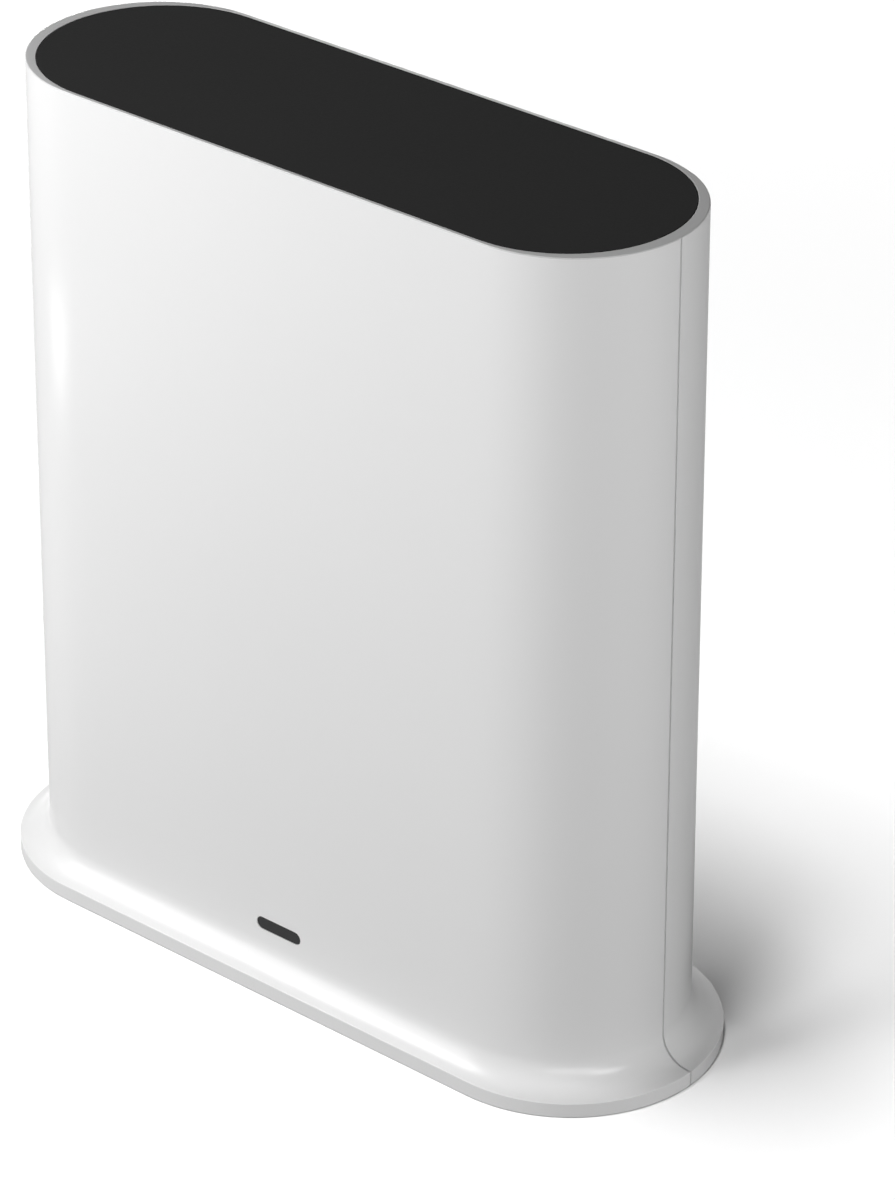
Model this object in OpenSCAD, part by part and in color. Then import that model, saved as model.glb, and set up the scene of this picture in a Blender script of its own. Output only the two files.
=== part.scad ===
// Upright base station for a set of wireless cameras: a two-part shell on a flared skirt with an
// inset top panel, a circuit board on bosses inside, and a bay of sockets low on the rear.
// Millimetres. Origin on the floor under the middle of the skirt, front towards -Y, +Z up.

/* [Body] */
// Overall height, from the floor to the top face
body_h = 169.5; // [160:0.5:200]
// End radius of the body at its top edge
body_r = 23.7; // [23:0.1:26]
// Half of the straight length between the rounded ends
body_half = 48.4; // [48:0.1:60]
// Draft angle of the walls, in degrees, wider towards the base
draft = 0.44; // [0.2:0.02:0.8]
// Wall thickness of the shells
wall = 2.2; // [1.8:0.1:2.6]

/* [Skirt] */
// Overall length of the skirt
skirt_l = 160; // [158:0.5:186]
// Overall depth of the skirt
skirt_w = 58.6; // [57:0.2:64]
// Height of the skirt's upright edge
skirt_edge = 2.9; // [2.8:0.1:4]
// Radius of the hollow flare between the walls and the skirt
flare_r = 5.7; // [4:0.1:6]
// Thickness of the skirt's upright edge
skirt_wall = 1.8; // [1.2:0.1:2.4]

/* [Seam] */
// Open gap between the two shells on the outside
seam_gap = 0.3; // [0.1:0.05:0.6]
// Length of the rear shell's tongue past the middle plane
tongue_l = 1.8; // [1:0.1:3]
// Thickness of that tongue
tongue_t = 1; // [0.6:0.1:1.2]

/* [Top] */
// Half of the straight length of the top panel
cap_half = 46.8; // [45:0.1:47]
// End radius of the top panel
cap_r = 22.84; // [21.5:0.02:22.9]
// Thickness of the top panel's margin
cap_t = 0.6; // [0.4:0.05:0.9]
// Thickness added to the top panel inside its margin
cap_core_t = 1.4; // [0.8:0.1:3]
// Thickness of the bezel's outer lip
bezel_lip = 0.25; // [0.15:0.05:0.5]
// Depth of the bezel's seat below the top face
bezel_drop = 1.8; // [1.4:0.1:3]
// Depth of the bezel's inner skirt below the top face
bezel_skirt = 9; // [7:0.5:12]
// Thickness of the bezel's inner skirt
bezel_wall = 1.6; // [1.2:0.1:2]
// Thickness of the shells' rim outside the bezel
rim_wall = 0.45; // [0.3:0.05:0.6]
// Radius of the snap beads on the bezel's inner skirt
bead_r = 0.5; // [0.3:0.05:0.8]
// Length of each snap bead
bead_l = 10; // [6:1:14]
// Distance between neighbouring snap beads
bead_pitch = 30; // [20:1:36]
// Depth of the beads below the top face
bead_drop = 5.4; // [4:0.1:6]
// Width of each clip under the top panel
clip_w = 8; // [5:0.5:12]
// Thickness of each clip
clip_t = 1.2; // [0.8:0.1:2]
// Height of a clip's hook
clip_hook_h = 1.2; // [0.8:0.1:2]
// Reach of a clip's hook under the bezel
clip_hook = 0.8; // [0.5:0.1:1.2]
// Distance of the clips from the middle plane
clip_x = 25; // [15:1:35]

/* [Base] */
// Thickness of the base plate
plate_t = 1.8; // [1.6:0.1:2.2]
// Depth of the base plate above the skirt's lower edge
plate_inset = 0.3; // [0:0.05:0.4]
// Radius of each rubber foot
foot_r = 5; // [3:0.5:8]
// Height of the feet below the skirt
foot_h = 0.3; // [0.2:0.1:2]
// Depth of the feet's pockets in the base plate
foot_sink = 0.9; // [0.5:0.1:1.1]
// Distance of the feet from the skirt's ends
foot_end = 22; // [16:0.5:24]
// Distance of the feet from the skirt's long sides
foot_side = 16.3; // [12:0.1:20]
// Number of air slots in the base plate
vent_count = 9; // [3:1:11]
// Distance between neighbouring air slots
vent_pitch = 8; // [5:0.5:8]
// Width of each air slot
vent_w = 2.2; // [1:0.1:3]
// Length of each air slot
vent_l = 18; // [8:1:26]
// Radius of the bosses that take the base screws
base_boss_r = 3.5; // [3:0.1:4]
// Distance of those bosses from the middle, lengthwise
base_boss_x = 44; // [42.5:0.5:44.4]
// Height of those bosses above the base plate
base_boss_h = 7.2; // [5:0.1:8]
// Bite of those bosses into the wall
base_boss_bite = 0.8; // [0.4:0.1:1.5]

/* [Status light] */
// Place of the window to the right of the middle
led_x = 1; // [-20:0.5:20]
// Height of the window's middle above the floor
led_z = 12.8; // [12.5:0.1:30]
// Length of the window
led_l = 10.9; // [8:0.1:16]
// Height of the window
led_d = 2.7; // [2:0.05:4]
// Rim of the lens behind the wall
lens_rim = 0.8; // [0.5:0.1:1.5]
// Thickness of that rim
lens_rim_t = 1; // [0.6:0.1:2]
// Depth of the lens face below the wall
lens_set = 0.08; // [0:0.02:0.3]
// Wall of the sleeve round the light pipe
sleeve_t = 1.2; // [0.8:0.1:2]
// Length of that sleeve
sleeve_l = 14; // [6:0.5:16]

/* [Port bay] */
// Width of the bay
bay_w = 76; // [74:0.5:77]
// Height of the bay
bay_h = 24.5; // [20:0.5:40]
// Height of the bay's middle above the floor
bay_z = 22.75; // [22.5:0.25:40]
// Depth of the bay from the rear wall to the panel
bay_depth = 9.5; // [6:0.25:11]
// Wall thickness of the bay
bay_wall = 1.8; // [1.2:0.1:2]
// Corner radius of the bay
bay_corner = 3; // [1:0.25:6]
// Thickness of the port panel
panel_t = 2; // [1.5:0.1:2.5]
// Radius of the bosses that take the panel's screws
panel_boss_r = 3; // [2.6:0.1:3.4]
// Distance of those bosses from the bay's side wall
panel_boss_gap = 4.2; // [3.8:0.1:4.6]

/* [Board] */
// Width of the board
board_w = 112; // [104:1:116]
// Height of the board
board_h = 118; // [114:1:130]
// Thickness of the board
board_t = 1.6; // [1:0.1:2]
// Height of the board's lower edge above the floor
board_z = 8; // [6:0.5:10]
// Distance of the board's holes from its side edges
board_hole_side = 12; // [11:0.5:14]
// Distance of the lower holes from the lower edge
board_hole_low = 10; // [8:0.5:14]
// Distance of the upper holes from the upper edge
board_hole_high = 16; // [15:0.5:20]
// Radius of the bosses that carry the board
board_boss_r = 3.5; // [3:0.1:4.5]

/* [Screws] */
// Shank radius of the base and board screws
screw_r = 1.5; // [1.2:0.05:1.6]
// Head radius of those screws
screw_head_r = 2.75; // [2.4:0.05:3]
// Head height of the board screws
screw_head_h = 1.8; // [1.2:0.1:2.4]
// Length of the base screws
base_screw_l = 8; // [6:0.5:8.5]
// Head height of the base screws
base_screw_head_h = 1.3; // [1:0.1:1.5]
// Shank length of the board screws
board_screw_l = 8; // [6:0.5:12]
// Shank radius of the small screws
small_screw_r = 1.1; // [0.9:0.05:1.3]
// Head radius of the small screws
small_head_r = 2; // [1.7:0.05:2.3]
// Head height of the small screws
small_head_h = 1.3; // [1:0.1:1.6]
// Shank length of the small screws
small_screw_l = 6; // [5:0.5:7]
// Width of the drive slots in the screw heads
drive_w = 0.6; // [0.4:0.05:0.8]
// Depth of the drive slots
drive_d = 0.8; // [0.4:0.05:0.9]
// Share of the head's width that the drive slots span
drive_span = 0.6; // [0.4:0.05:0.7]

/* [Sockets] */
// Height of the sockets above the board
port_depth = 13.7; // [12.5:0.1:15]
// Depth of the socket mouths below the panel's face
mouth_set = 0.2; // [0:0.05:0.5]
// Place of the network socket across the bay
jack_x = -26; // [-27:0.5:-24]
// Width of the network socket
jack_w = 16.2; // [15.5:0.1:17]
// Height of the network socket
jack_h = 13.8; // [13:0.1:15]
// Sheet thickness of the network socket's shield
jack_sheet = 0.25; // [0.15:0.05:0.4]
// Width of the network plug's opening
plug_w = 11.9; // [11.7:0.1:12.2]
// Height of the network plug's opening
plug_h = 7; // [6.6:0.1:7.4]
// Width of the latch slot under it
latch_w = 6.6; // [5:0.1:8]
// Height of the latch slot
latch_h = 2.4; // [1.5:0.1:2.6]
// Depth of the network plug's opening
plug_depth = 11.2; // [9:0.1:11.5]
// Thickness of the network housing above its contacts
plug_roof = 1; // [0.6:0.1:1.4]
// Number of network contacts
contact_count = 8; // [4:1:8]
// Distance between neighbouring network contacts
contact_pitch = 1.27; // [1:0.01:1.35]
// Width of each network contact
contact_w = 0.46; // [0.3:0.02:0.6]
// Thickness of each network contact
contact_t = 0.7; // [0.5:0.05:0.9]
// Length of each network contact
contact_l = 8; // [5:0.5:9]
// Place of the USB socket across the bay
usb_x = -7.5; // [-9:0.5:-6]
// Width of the USB socket
usb_w = 13.2; // [13:0.1:14]
// Height of the USB socket
usb_h = 5.8; // [5.7:0.1:6.5]
// Sheet thickness of the USB socket
usb_sheet = 0.35; // [0.25:0.05:0.4]
// Width of the USB tongue
tongue_usb_w = 11.2; // [10.5:0.1:11.5]
// Thickness of the USB tongue
tongue_usb_t = 1.85; // [1.7:0.05:2]
// Depth of the USB tongue's tip below the mouth
tongue_usb_set = 1; // [0.5:0.1:2]
// Gap between the USB tongue and the shell above it
usb_roof = 0.5; // [0.3:0.1:0.8]
// Height of the block that carries the USB tongue
usb_block = 3.4; // [2:0.1:4.5]
// Number of USB contacts
usb_contact_count = 4; // [2:1:4]
// Width of each USB contact
usb_contact_w = 1.1; // [0.8:0.05:1.3]
// Thickness of each USB contact
usb_contact_t = 0.2; // [0.1:0.05:0.3]
// Distance between neighbouring USB contacts
usb_contact_pitch = 2.4; // [2:0.1:2.6]
// Place of the power inlet across the bay
dc_x = 9; // [7:0.5:11]
// Width of the power inlet's block
dc_w = 9.4; // [9:0.1:10]
// Height of the power inlet's block
dc_h = 10.4; // [9.5:0.1:12]
// Radius of the power inlet's nose
dc_nose_r = 4.3; // [4:0.05:4.6]
// Length of the nose
dc_nose = 2.6; // [2.3:0.1:4]
// Radius of the power inlet's bore
dc_bore_r = 3.15; // [3.1:0.05:3.5]
// Depth of the bore
dc_bore = 9.5; // [8:0.1:10]
// Radius of the centre pin
dc_pin_r = 1; // [0.8:0.05:1.25]
// Radius of the pin's root in the block
dc_root_r = 1.4; // [1.3:0.05:1.8]
// Depth of the pin's tip below the mouth
dc_pin_set = 0.8; // [0.3:0.1:2]
// Width of the spring contact in the bore
dc_spring_w = 1.6; // [1:0.1:2]
// Thickness of the spring contact
dc_spring_t = 0.35; // [0.2:0.05:0.4]

/* [Switches] */
// Place of the pairing button across the bay
sync_x = 22.5; // [20.5:0.5:23.5]
// Radius of the pairing button
button_r = 4; // [3:0.1:4.5]
// Height of the button above the panel
button_proud = 0.8; // [0.6:0.1:2]
// Radius of the button's flange behind the panel
button_flange_r = 5; // [4.8:0.1:5.2]
// Thickness of that flange
button_flange_t = 1.2; // [0.8:0.1:1.6]
// Radius of the button's stem
stem_r = 1.5; // [1.2:0.1:1.6]
// Place of the reset pinhole across the bay
reset_x = 32; // [31.5:0.5:33]
// Radius of the reset pinhole
pinhole_r = 0.9; // [0.7:0.05:1.2]
// Side of each switch block
switch_w = 6; // [5.5:0.1:6.5]
// Height of each switch block
switch_h = 3.6; // [3:0.1:4]
// Height of each switch, plunger and all
switch_full_h = 6; // [5:0.1:7]
// Radius of each switch plunger
plunger_r = 1.7; // [1.5:0.05:2]
// Travel of each switch plunger
switch_travel = 0.5; // [0.25:0.05:0.7]
// Length of plunger held inside the block
plunger_hold = 1.4; // [1:0.1:1.6]

/* [Board parts] */
// Height of the processor's middle above the board's lower edge
chip_z = 66; // [60:1:72]
// Side of the processor
chip_w = 19; // [14:0.5:20]
// Height of the processor
chip_t = 1.5; // [1:0.1:2]
// Thickness of the thermal pad
pad_t = 0.5; // [0.3:0.1:1]
// Margin of the thermal pad inside the processor's edge
pad_margin = 0.5; // [0.2:0.1:2]
// Side of the heat sink
sink_w = 46; // [46:1:56]
// Base thickness of the heat sink
sink_base = 3; // [2:0.25:5]
// Number of fins
fin_count = 10; // [5:1:13]
// Fin height
fin_h = 9; // [5:0.5:10]
// Fin thickness
fin_t = 1.2; // [0.8:0.1:2]
// Radius of the heat sink's feet on the board
sink_foot_r = 2.4; // [2:0.1:2.6]
// Distance of those feet from the heat sink's edge
sink_foot_edge = 3.4; // [3:0.1:4]
// Width of each memory chip
memory_w = 8; // [6:0.5:8.5]
// Height of each memory chip on the board
memory_h = 13; // [9:0.5:14]
// Thickness of the memory and flash chips
memory_t = 1.1; // [0.8:0.1:1.4]
// Distance of the memory chips from the processor
memory_gap = 2; // [1.5:0.1:2.5]
// Place of the flash chip to the left of the middle
flash_x = 36; // [35:0.5:40]
// Side of the flash chip
flash_w = 11; // [8:0.5:13]
// Distance of the radio shields from the middle
radio_x = 28; // [26:0.5:36]
// Height of the radio shields' middles above the board's lower edge
radio_z = 78; // [72:0.5:84]
// Width of each radio shield
radio_w = 30; // [24:0.5:32]
// Height of each radio shield on the board
radio_h = 24; // [18:0.5:26]
// Depth of each radio shield
radio_t = 3.2; // [2.4:0.1:4]
// Sheet thickness of the radio shields
radio_sheet = 0.3; // [0.2:0.05:0.5]
// Side of each radio chip
radio_chip_w = 9; // [6:0.5:12]
// Thickness of each radio chip
radio_chip_t = 0.9; // [0.6:0.1:1.3]
// Distance between neighbouring aerials
aerial_pitch = 34; // [32:0.5:38]
// Length of each aerial
aerial_l = 26; // [18:0.5:30]
// Width of each aerial's blade
aerial_w = 6; // [4:0.5:8]
// Sheet thickness of the aerials
aerial_t = 0.4; // [0.3:0.05:0.6]
// Height of the aerials above the board
aerial_rise = 7; // [5:0.5:10]
// Width of each foot of an aerial
aerial_foot = 3; // [2:0.25:4]
// Distance of the aerials from the board's upper edge
aerial_edge = 4.5; // [4:0.25:6]
// Height of the transformer and coils above the board's lower edge
power_z = 38; // [36.5:0.5:42]
// Width of the network transformer
trafo_w = 16.5; // [14:0.5:18]
// Height of the network transformer on the board
trafo_h = 7; // [6:0.5:9]
// Thickness of the network transformer
trafo_t = 5.6; // [4:0.1:7]
// Place of the first coil to the right of the middle
coil_x = 2; // [0:0.5:4]
// Distance between neighbouring coils
coil_pitch = 11; // [10.5:0.5:13]
// Side of each coil
coil_w = 8; // [6:0.5:9]
// Thickness of each coil
coil_t = 4.4; // [3:0.1:6]
// Place of the first capacitor to the right of the middle
can_x = 25; // [24.5:0.5:28]
// Distance between neighbouring capacitors
can_pitch = 8; // [7.5:0.5:10]
// Radius of each capacitor
can_r = 3.15; // [2.5:0.05:3.4]
// Height of each capacitor
can_h = 7.7; // [5:0.1:9]
// Width of the status light's package
led_chip_w = 3.2; // [2:0.1:4]
// Height of the status light's package on the board
led_chip_h = 2.6; // [1.6:0.1:3]
// Thickness of that package
led_chip_t = 0.9; // [0.5:0.1:1.2]

/* [Clearances] */
// Gap between a fixed piece and the pocket that takes it
fit_gap = 0.1; // [0.05:0.01:0.15]
// Gap round a screw's shank or head
screw_gap = 0.05; // [0.02:0.01:0.1]
// Gap between faces that are just apart
face_gap = 0.03; // [0.02:0.01:0.1]
// Radial gap round what slides
slide_gap = 0.08; // [0.03:0.01:0.1]
// Gap round the socket mouths in the port panel
port_gap = 0.25; // [0.15:0.05:0.5]
// Small crossing that keeps arcs and flats from only grazing
lap = 0.02; // [0.01:0.005:0.04]

/* [Hidden] */
$fn = 64;
// Reach of a cut past the face that it opens
past = 1;
// Reach of a cut past everything
far = 300;
feet = [1, 2, 3, 4];
pair = [1, 2];
trio = [1, 2, 3];
sides = [-1, 1];

// Outer radius of the body's ends, and half its depth, at a height
function wall_r(z) = body_r + (body_h - z) * tan(draft);

// Levels and outlines of the shell
skirt_z = foot_h;
edge_z = skirt_z + skirt_edge;
flare_z = edge_z + flare_r;
shell_top = body_h - bezel_lip;
skirt_r = skirt_w / 2;
skirt_half = skirt_l / 2 - skirt_r;
flange_r = skirt_r + abs(skirt_half - body_half) + past;
flare_x = wall_r(flare_z) + flare_r - lap;
foot_x = skirt_l / 2 - foot_end;
foot_y = skirt_w / 2 - foot_side;
plate_z = skirt_z + plate_inset;
ledge_z = plate_z + plate_t;
seam_y = seam_gap / 2;
tongue_low = flare_z + past;
tongue_high = body_h - bezel_drop - past;

// Outlines of the top
bezel_seat_r = body_r - rim_wall - fit_gap;
bezel_skirt_r = body_r - wall - fit_gap;
bezel_open_r = bezel_skirt_r - bezel_wall;
cap_core_r = bezel_open_r - fit_gap;
bezel_low = body_h - bezel_skirt;
bead_z = body_h - bead_drop;

// Places of the base screws, one row of two in each shell
base_boss_y = wall_r(ledge_z) - wall - base_boss_r + base_boss_bite;
base_places = [for (x = sides, y = sides) [x * base_boss_x, y * base_boss_y]];

// Port bay, panel and board planes, front to rear
bay_y = wall_r(bay_z) - bay_depth;
panel_y = bay_y - panel_t;
mouth_y = bay_y - mouth_set;
board_y = mouth_y - port_depth;
board_front = board_y - board_t;
panel_boss_x = bay_w / 2 + bay_wall + panel_boss_gap;
panel_ear = panel_boss_x + panel_boss_r;
board_hole_x = board_w / 2 - board_hole_side;
board_top = board_z + board_h;
board_holes = [
    for (x = sides, z = [board_z + board_hole_low, board_top - board_hole_high]) [x * board_hole_x, z]
];

// Status light, from the window in to the board
led_half = (led_l - led_d) / 2;
led_r = led_d / 2;
rim_r = led_r + lens_rim;
rim_high = led_z + rim_r;
lens_face = -wall_r(led_z) + lens_set;
lens_seat = -(wall_r(rim_high) - wall) + face_gap;
lens_back = lens_seat + lens_rim_t;
pipe_w = 2 * (led_half + rim_r);
pipe_h = 2 * rim_r;
led_chip_y = board_front - led_chip_t;

// Switches
switch_top = board_y + switch_full_h;
switch_well = board_y + switch_h - plunger_hold - switch_travel - fit_gap;
button_back = switch_top + face_gap;
button_shoulder = panel_y - face_gap;

// Processor and heat sink, from the board forwards
chip_mid = board_z + chip_z;
chip_face = board_front - chip_t;
pad_face = chip_face - pad_t;
sink_face = pad_face - sink_base;
sink_foot = sink_w / 2 - sink_foot_edge;
sink_places = [[-sink_foot, chip_mid - sink_foot], [sink_foot, chip_mid + sink_foot]];
fin_pitch = (sink_w - fin_t) / (fin_count - 1);

// Sockets
plug_top = bay_z + jack_h / 2 - jack_sheet - fit_gap - contact_t - plug_roof;
contact_z = plug_top - contact_t / 2;
usb_tongue_z = bay_z + usb_h / 2 - usb_sheet - tongue_usb_t - usb_roof;
dc_bore_y = mouth_y - dc_bore;
dc_block_y = mouth_y - dc_nose;

// Half of a disc, on the +X side
module half_disc(r) {
    intersection() {
        circle(r);
        translate([0, -2 * r])
            square([2 * r, 4 * r]);
    }
}

// Outline with straight sides and round ends
module stadium(half, r) {
    square([2 * half, 2 * r], center = true);
    for (turn = [0, 180])
        rotate(turn)
            translate([half, 0])
                half_disc(r);
}

// Upright block with that outline
module stadium_block(half, r, low, high) {
    translate([0, 0, low])
        linear_extrude(high - low)
            stadium(half, r);
}

// Rectangle with round corners
module round_rect(w, h, r) {
    square([w - 2 * r, h], center = true);
    for (turn = [0, 180])
        rotate(turn) {
            translate([w / 2 - r, r - h / 2])
                square([r, h - 2 * r]);
            for (up = sides)
                translate([w / 2 - r, up * (h / 2 - r)])
                    intersection() {
                        circle(r);
                        translate([0, up > 0 ? 0 : -2 * r])
                            square([2 * r, 2 * r]);
                    }
        }
}

// Carries a profile, drawn as radius and height, round the body's outline
module around_body() {
    for (turn = [0, 180])
        rotate([0, 0, turn]) {
            translate([body_half, 0, 0])
                rotate([0, 0, -90])
                    rotate_extrude(angle = 180)
                        children();
            translate([-body_half, 0, 0])
                rotate([90, 0, 90])
                    linear_extrude(2 * body_half)
                        children();
        }
}

// Profile of the drafted wall's inside, a depth in from its face
module drafted(inset, low, high) {
    polygon([[0, low], [wall_r(low) - inset, low], [wall_r(high) - inset, high], [0, high]]);
}

// Profile of the flange, hollowed by the flare's arc
module flare() {
    difference() {
        translate([0, skirt_z])
            square([flange_r, flare_z - skirt_z]);
        translate([flare_x, flare_z])
            circle(flare_r);
        translate([flare_x, edge_z + lap])
            square([flange_r, 2 * flare_r]);
    }
}

// Extrudes a drawing of the front view towards +Y, from one depth to another
module slab(from, to) {
    translate([0, to, 0])
        rotate([90, 0, 0])
            linear_extrude(to - from)
                children();
}

// Round bar along Y between two depths
module bar(x, z, r, from, to) {
    translate([x, to, z])
        rotate([90, 0, 0])
            cylinder(h = to - from, r = r);
}

// Block on the board, by its middle, size and depths
module block(x, z, w, h, from, to) {
    translate([x - w / 2, from, z - h / 2])
        cube([w, to - from, h]);
}

// Cross cut into a screw head, from its face inwards along +Z
module drive(head_r) {
    for (turn = [0, 90])
        rotate([0, 0, turn])
            translate([-head_r * drive_span, -drive_w / 2, -past])
                cube([2 * head_r * drive_span, drive_w, past + drive_d]);
}

// Round-head screw, its head's face down at z = 0 and its shank up
module pan_screw(shank_r, shank_l, head_r, head_h) {
    difference() {
        union() {
            cylinder(h = head_h, r = head_r);
            cylinder(h = head_h + shank_l, r = shank_r);
        }
        drive(head_r);
    }
}

// Countersunk screw, its head's face down at z = 0 and its shank up
module flat_screw(shank_r, full_l, head_r, head_h) {
    difference() {
        union() {
            cylinder(h = head_h, r1 = head_r, r2 = shank_r);
            cylinder(h = full_l, r = shank_r);
        }
        drive(head_r);
    }
}

// Outside of both shells together
module outer_body() {
    intersection() {
        around_body()
            union() {
                drafted(0, skirt_z, shell_top);
                flare();
            }
        stadium_block(skirt_half, skirt_r, skirt_z - past, body_h + past);
    }
}

// Both shells together, hollow, with the seats of the bezel and the base plate
module hollow_body() {
    difference() {
        outer_body();
        around_body()
            drafted(wall, skirt_z - past, body_h + past);
        stadium_block(skirt_half, skirt_r - skirt_wall, skirt_z - past, ledge_z);
        stadium_block(body_half, body_r - rim_wall, body_h - bezel_drop, body_h + past);
    }
}

// Everything on one side of the seam, front for -1 and rear for 1
module shell_side(side) {
    translate([-far, side < 0 ? -far - seam_y : seam_y, -far])
        cube([2 * far, far, 2 * far]);
}

// Round bead along X that snaps the bezel into the walls
module beads(r, l, side) {
    for (x = [-bead_pitch, 0, bead_pitch])
        translate([x - l / 2, side * bezel_skirt_r, bead_z])
            rotate([0, 90, 0])
                cylinder(h = l, r = r);
}

// Bosses of one shell for the base screws, and their holes
module base_bosses(side) {
    for (x = sides)
        translate([x * base_boss_x, side * base_boss_y, ledge_z])
            cylinder(h = base_boss_h, r = base_boss_r);
}

module base_boss_holes(side) {
    for (x = sides)
        translate([x * base_boss_x, side * base_boss_y, ledge_z - past])
            cylinder(h = base_boss_h, r = screw_r + screw_gap);
}

module front_shell() {
    color("white")
        difference() {
            union() {
                intersection() {
                    hollow_body();
                    shell_side(-1);
                }
                base_bosses(-1);
                for (p = board_holes)
                    bar(p[0], p[1], board_boss_r, -(wall_r(p[1]) - wall / 2), board_front);
                block(
                    led_x, led_z, pipe_w + 2 * sleeve_t, pipe_h + 2 * sleeve_t,
                    -(wall_r(led_z) - wall / 2), lens_seat + sleeve_l
                );
            }
            base_boss_holes(-1);
            beads(bead_r + fit_gap, bead_l + 2 * fit_gap, -1);
            for (p = board_holes)
                bar(p[0], p[1], screw_r + screw_gap, board_front - board_screw_l, board_front + past);
            slab(-far, 0)
                translate([led_x, led_z])
                    stadium(led_half, led_r + fit_gap);
            block(
                led_x, led_z, pipe_w + 2 * fit_gap, pipe_h + 2 * fit_gap,
                lens_seat - face_gap, lens_seat + sleeve_l + past
            );
            intersection() {
                around_body()
                    drafted(wall - tongue_t - fit_gap, tongue_low - fit_gap, tongue_high + fit_gap);
                block(0, body_h / 2, far, far, -tongue_l - fit_gap, 0);
            }
        }
}

module rear_shell() {
    color("white")
        difference() {
            union() {
                intersection() {
                    hollow_body();
                    shell_side(1);
                }
                base_bosses(1);
                intersection() {
                    difference() {
                        around_body()
                            drafted(wall - tongue_t, tongue_low, tongue_high);
                        around_body()
                            drafted(wall, tongue_low - past, tongue_high + past);
                    }
                    block(0, body_h / 2, far, far, -tongue_l, seam_y);
                }
                slab(bay_y, wall_r(bay_z) - wall / 2)
                    translate([0, bay_z])
                        round_rect(bay_w + 2 * bay_wall, bay_h + 2 * bay_wall, bay_corner + bay_wall);
                for (x = sides)
                    bar(x * panel_boss_x, bay_z, panel_boss_r, bay_y, wall_r(bay_z) - wall / 2);
            }
            base_boss_holes(1);
            beads(bead_r + fit_gap, bead_l + 2 * fit_gap, 1);
            slab(bay_y - past, far)
                translate([0, bay_z])
                    round_rect(bay_w, bay_h, bay_corner);
            for (x = sides)
                bar(
                    x * panel_boss_x, bay_z, small_screw_r + screw_gap,
                    bay_y - past, bay_y + small_screw_l - panel_t + fit_gap
                );
        }
}

module top_bezel() {
    color("silver")
        difference() {
            union() {
                stadium_block(body_half, body_r, shell_top, body_h);
                stadium_block(body_half, bezel_seat_r, body_h - bezel_drop, shell_top);
                stadium_block(body_half, bezel_skirt_r, bezel_low, body_h - bezel_drop);
                for (side = sides)
                    beads(bead_r, bead_l, side);
            }
            stadium_block(cap_half, cap_r + fit_gap, body_h - cap_t, body_h + past);
            stadium_block(body_half, bezel_open_r, bezel_low - past, body_h + past);
        }
}

module top_cap() {
    hook_z = bezel_low - face_gap - clip_hook_h;
    color("dimgray")
        union() {
            stadium_block(cap_half, cap_r, body_h - cap_t, body_h);
            stadium_block(body_half, cap_core_r, body_h - cap_t - cap_core_t, body_h - cap_t);
            for (x = sides, turn = [0, 180])
                rotate([0, 0, turn])
                    translate([x * clip_x - clip_w / 2, cap_core_r - clip_t, hook_z]) {
                        cube([clip_w, clip_t, body_h - cap_t - cap_core_t - hook_z]);
                        cube([clip_w, clip_t + fit_gap + clip_hook, clip_hook_h]);
                    }
        }
}

module base_plate() {
    color("gainsboro")
        difference() {
            stadium_block(skirt_half, skirt_r - skirt_wall - fit_gap, plate_z, ledge_z);
            for (i = feet)
                foot_place(i)
                    cylinder(h = plate_z + foot_sink, r = foot_r + fit_gap);
            for (p = base_places)
                translate([p[0], p[1], plate_z]) {
                    cylinder(h = base_screw_head_h, r1 = screw_head_r + screw_gap, r2 = screw_r + screw_gap);
                    cylinder(h = plate_t + past, r = screw_r + screw_gap);
                }
            for (i = [0 : vent_count - 1])
                translate([(i - (vent_count - 1) / 2) * vent_pitch - vent_w / 2, -vent_l / 2, 0])
                    cube([vent_w, vent_l, ledge_z + past]);
        }
}

// Moves to the place of one foot on the floor
module foot_place(i) {
    translate([sides[i % 2] * foot_x, sides[floor((i - 1) / 2)] * foot_y, 0])
        children();
}

module rubber_foot(i) {
    color("black")
        foot_place(i)
            cylinder(h = plate_z + foot_sink, r = foot_r);
}

module base_screws() {
    color("gray")
        for (p = base_places)
            translate([p[0], p[1], plate_z])
                flat_screw(screw_r, base_screw_l, screw_head_r, base_screw_head_h);
}

module led_lens() {
    color("darkslategray")
        translate([led_x, 0, led_z]) {
            slab(lens_face, lens_seat)
                stadium(led_half, led_r);
            slab(lens_seat, lens_back)
                stadium(led_half, rim_r);
        }
}

module light_pipe() {
    color("aliceblue")
        block(led_x, led_z, pipe_w, pipe_h, lens_back, led_chip_y - face_gap);
}

module status_led() {
    color("ivory")
        block(led_x, led_z, led_chip_w, led_chip_h, led_chip_y, board_front);
}

module port_panel() {
    color("dimgray")
        difference() {
            slab(panel_y, bay_y)
                translate([0, bay_z])
                    round_rect(2 * panel_ear, bay_h + 2 * bay_wall, bay_corner);
            block(
                jack_x, bay_z, jack_w + 2 * port_gap, jack_h + 2 * port_gap,
                panel_y - past, bay_y + past
            );
            block(
                usb_x, bay_z, usb_w + 2 * port_gap, usb_h + 2 * port_gap,
                panel_y - past, bay_y + past
            );
            bar(dc_x, bay_z, dc_nose_r + port_gap, panel_y - past, bay_y + past);
            bar(sync_x, bay_z, button_r + slide_gap, panel_y - past, bay_y + past);
            bar(reset_x, bay_z, pinhole_r, panel_y - past, bay_y + past);
            for (x = sides)
                bar(x * panel_boss_x, bay_z, small_screw_r + screw_gap, panel_y - past, bay_y + past);
        }
}

module panel_screws() {
    color("gray")
        for (x = sides)
            translate([x * panel_boss_x, panel_y - small_head_h, bay_z])
                rotate([-90, 0, 0])
                    pan_screw(small_screw_r, small_screw_l, small_head_r, small_head_h);
}

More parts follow.
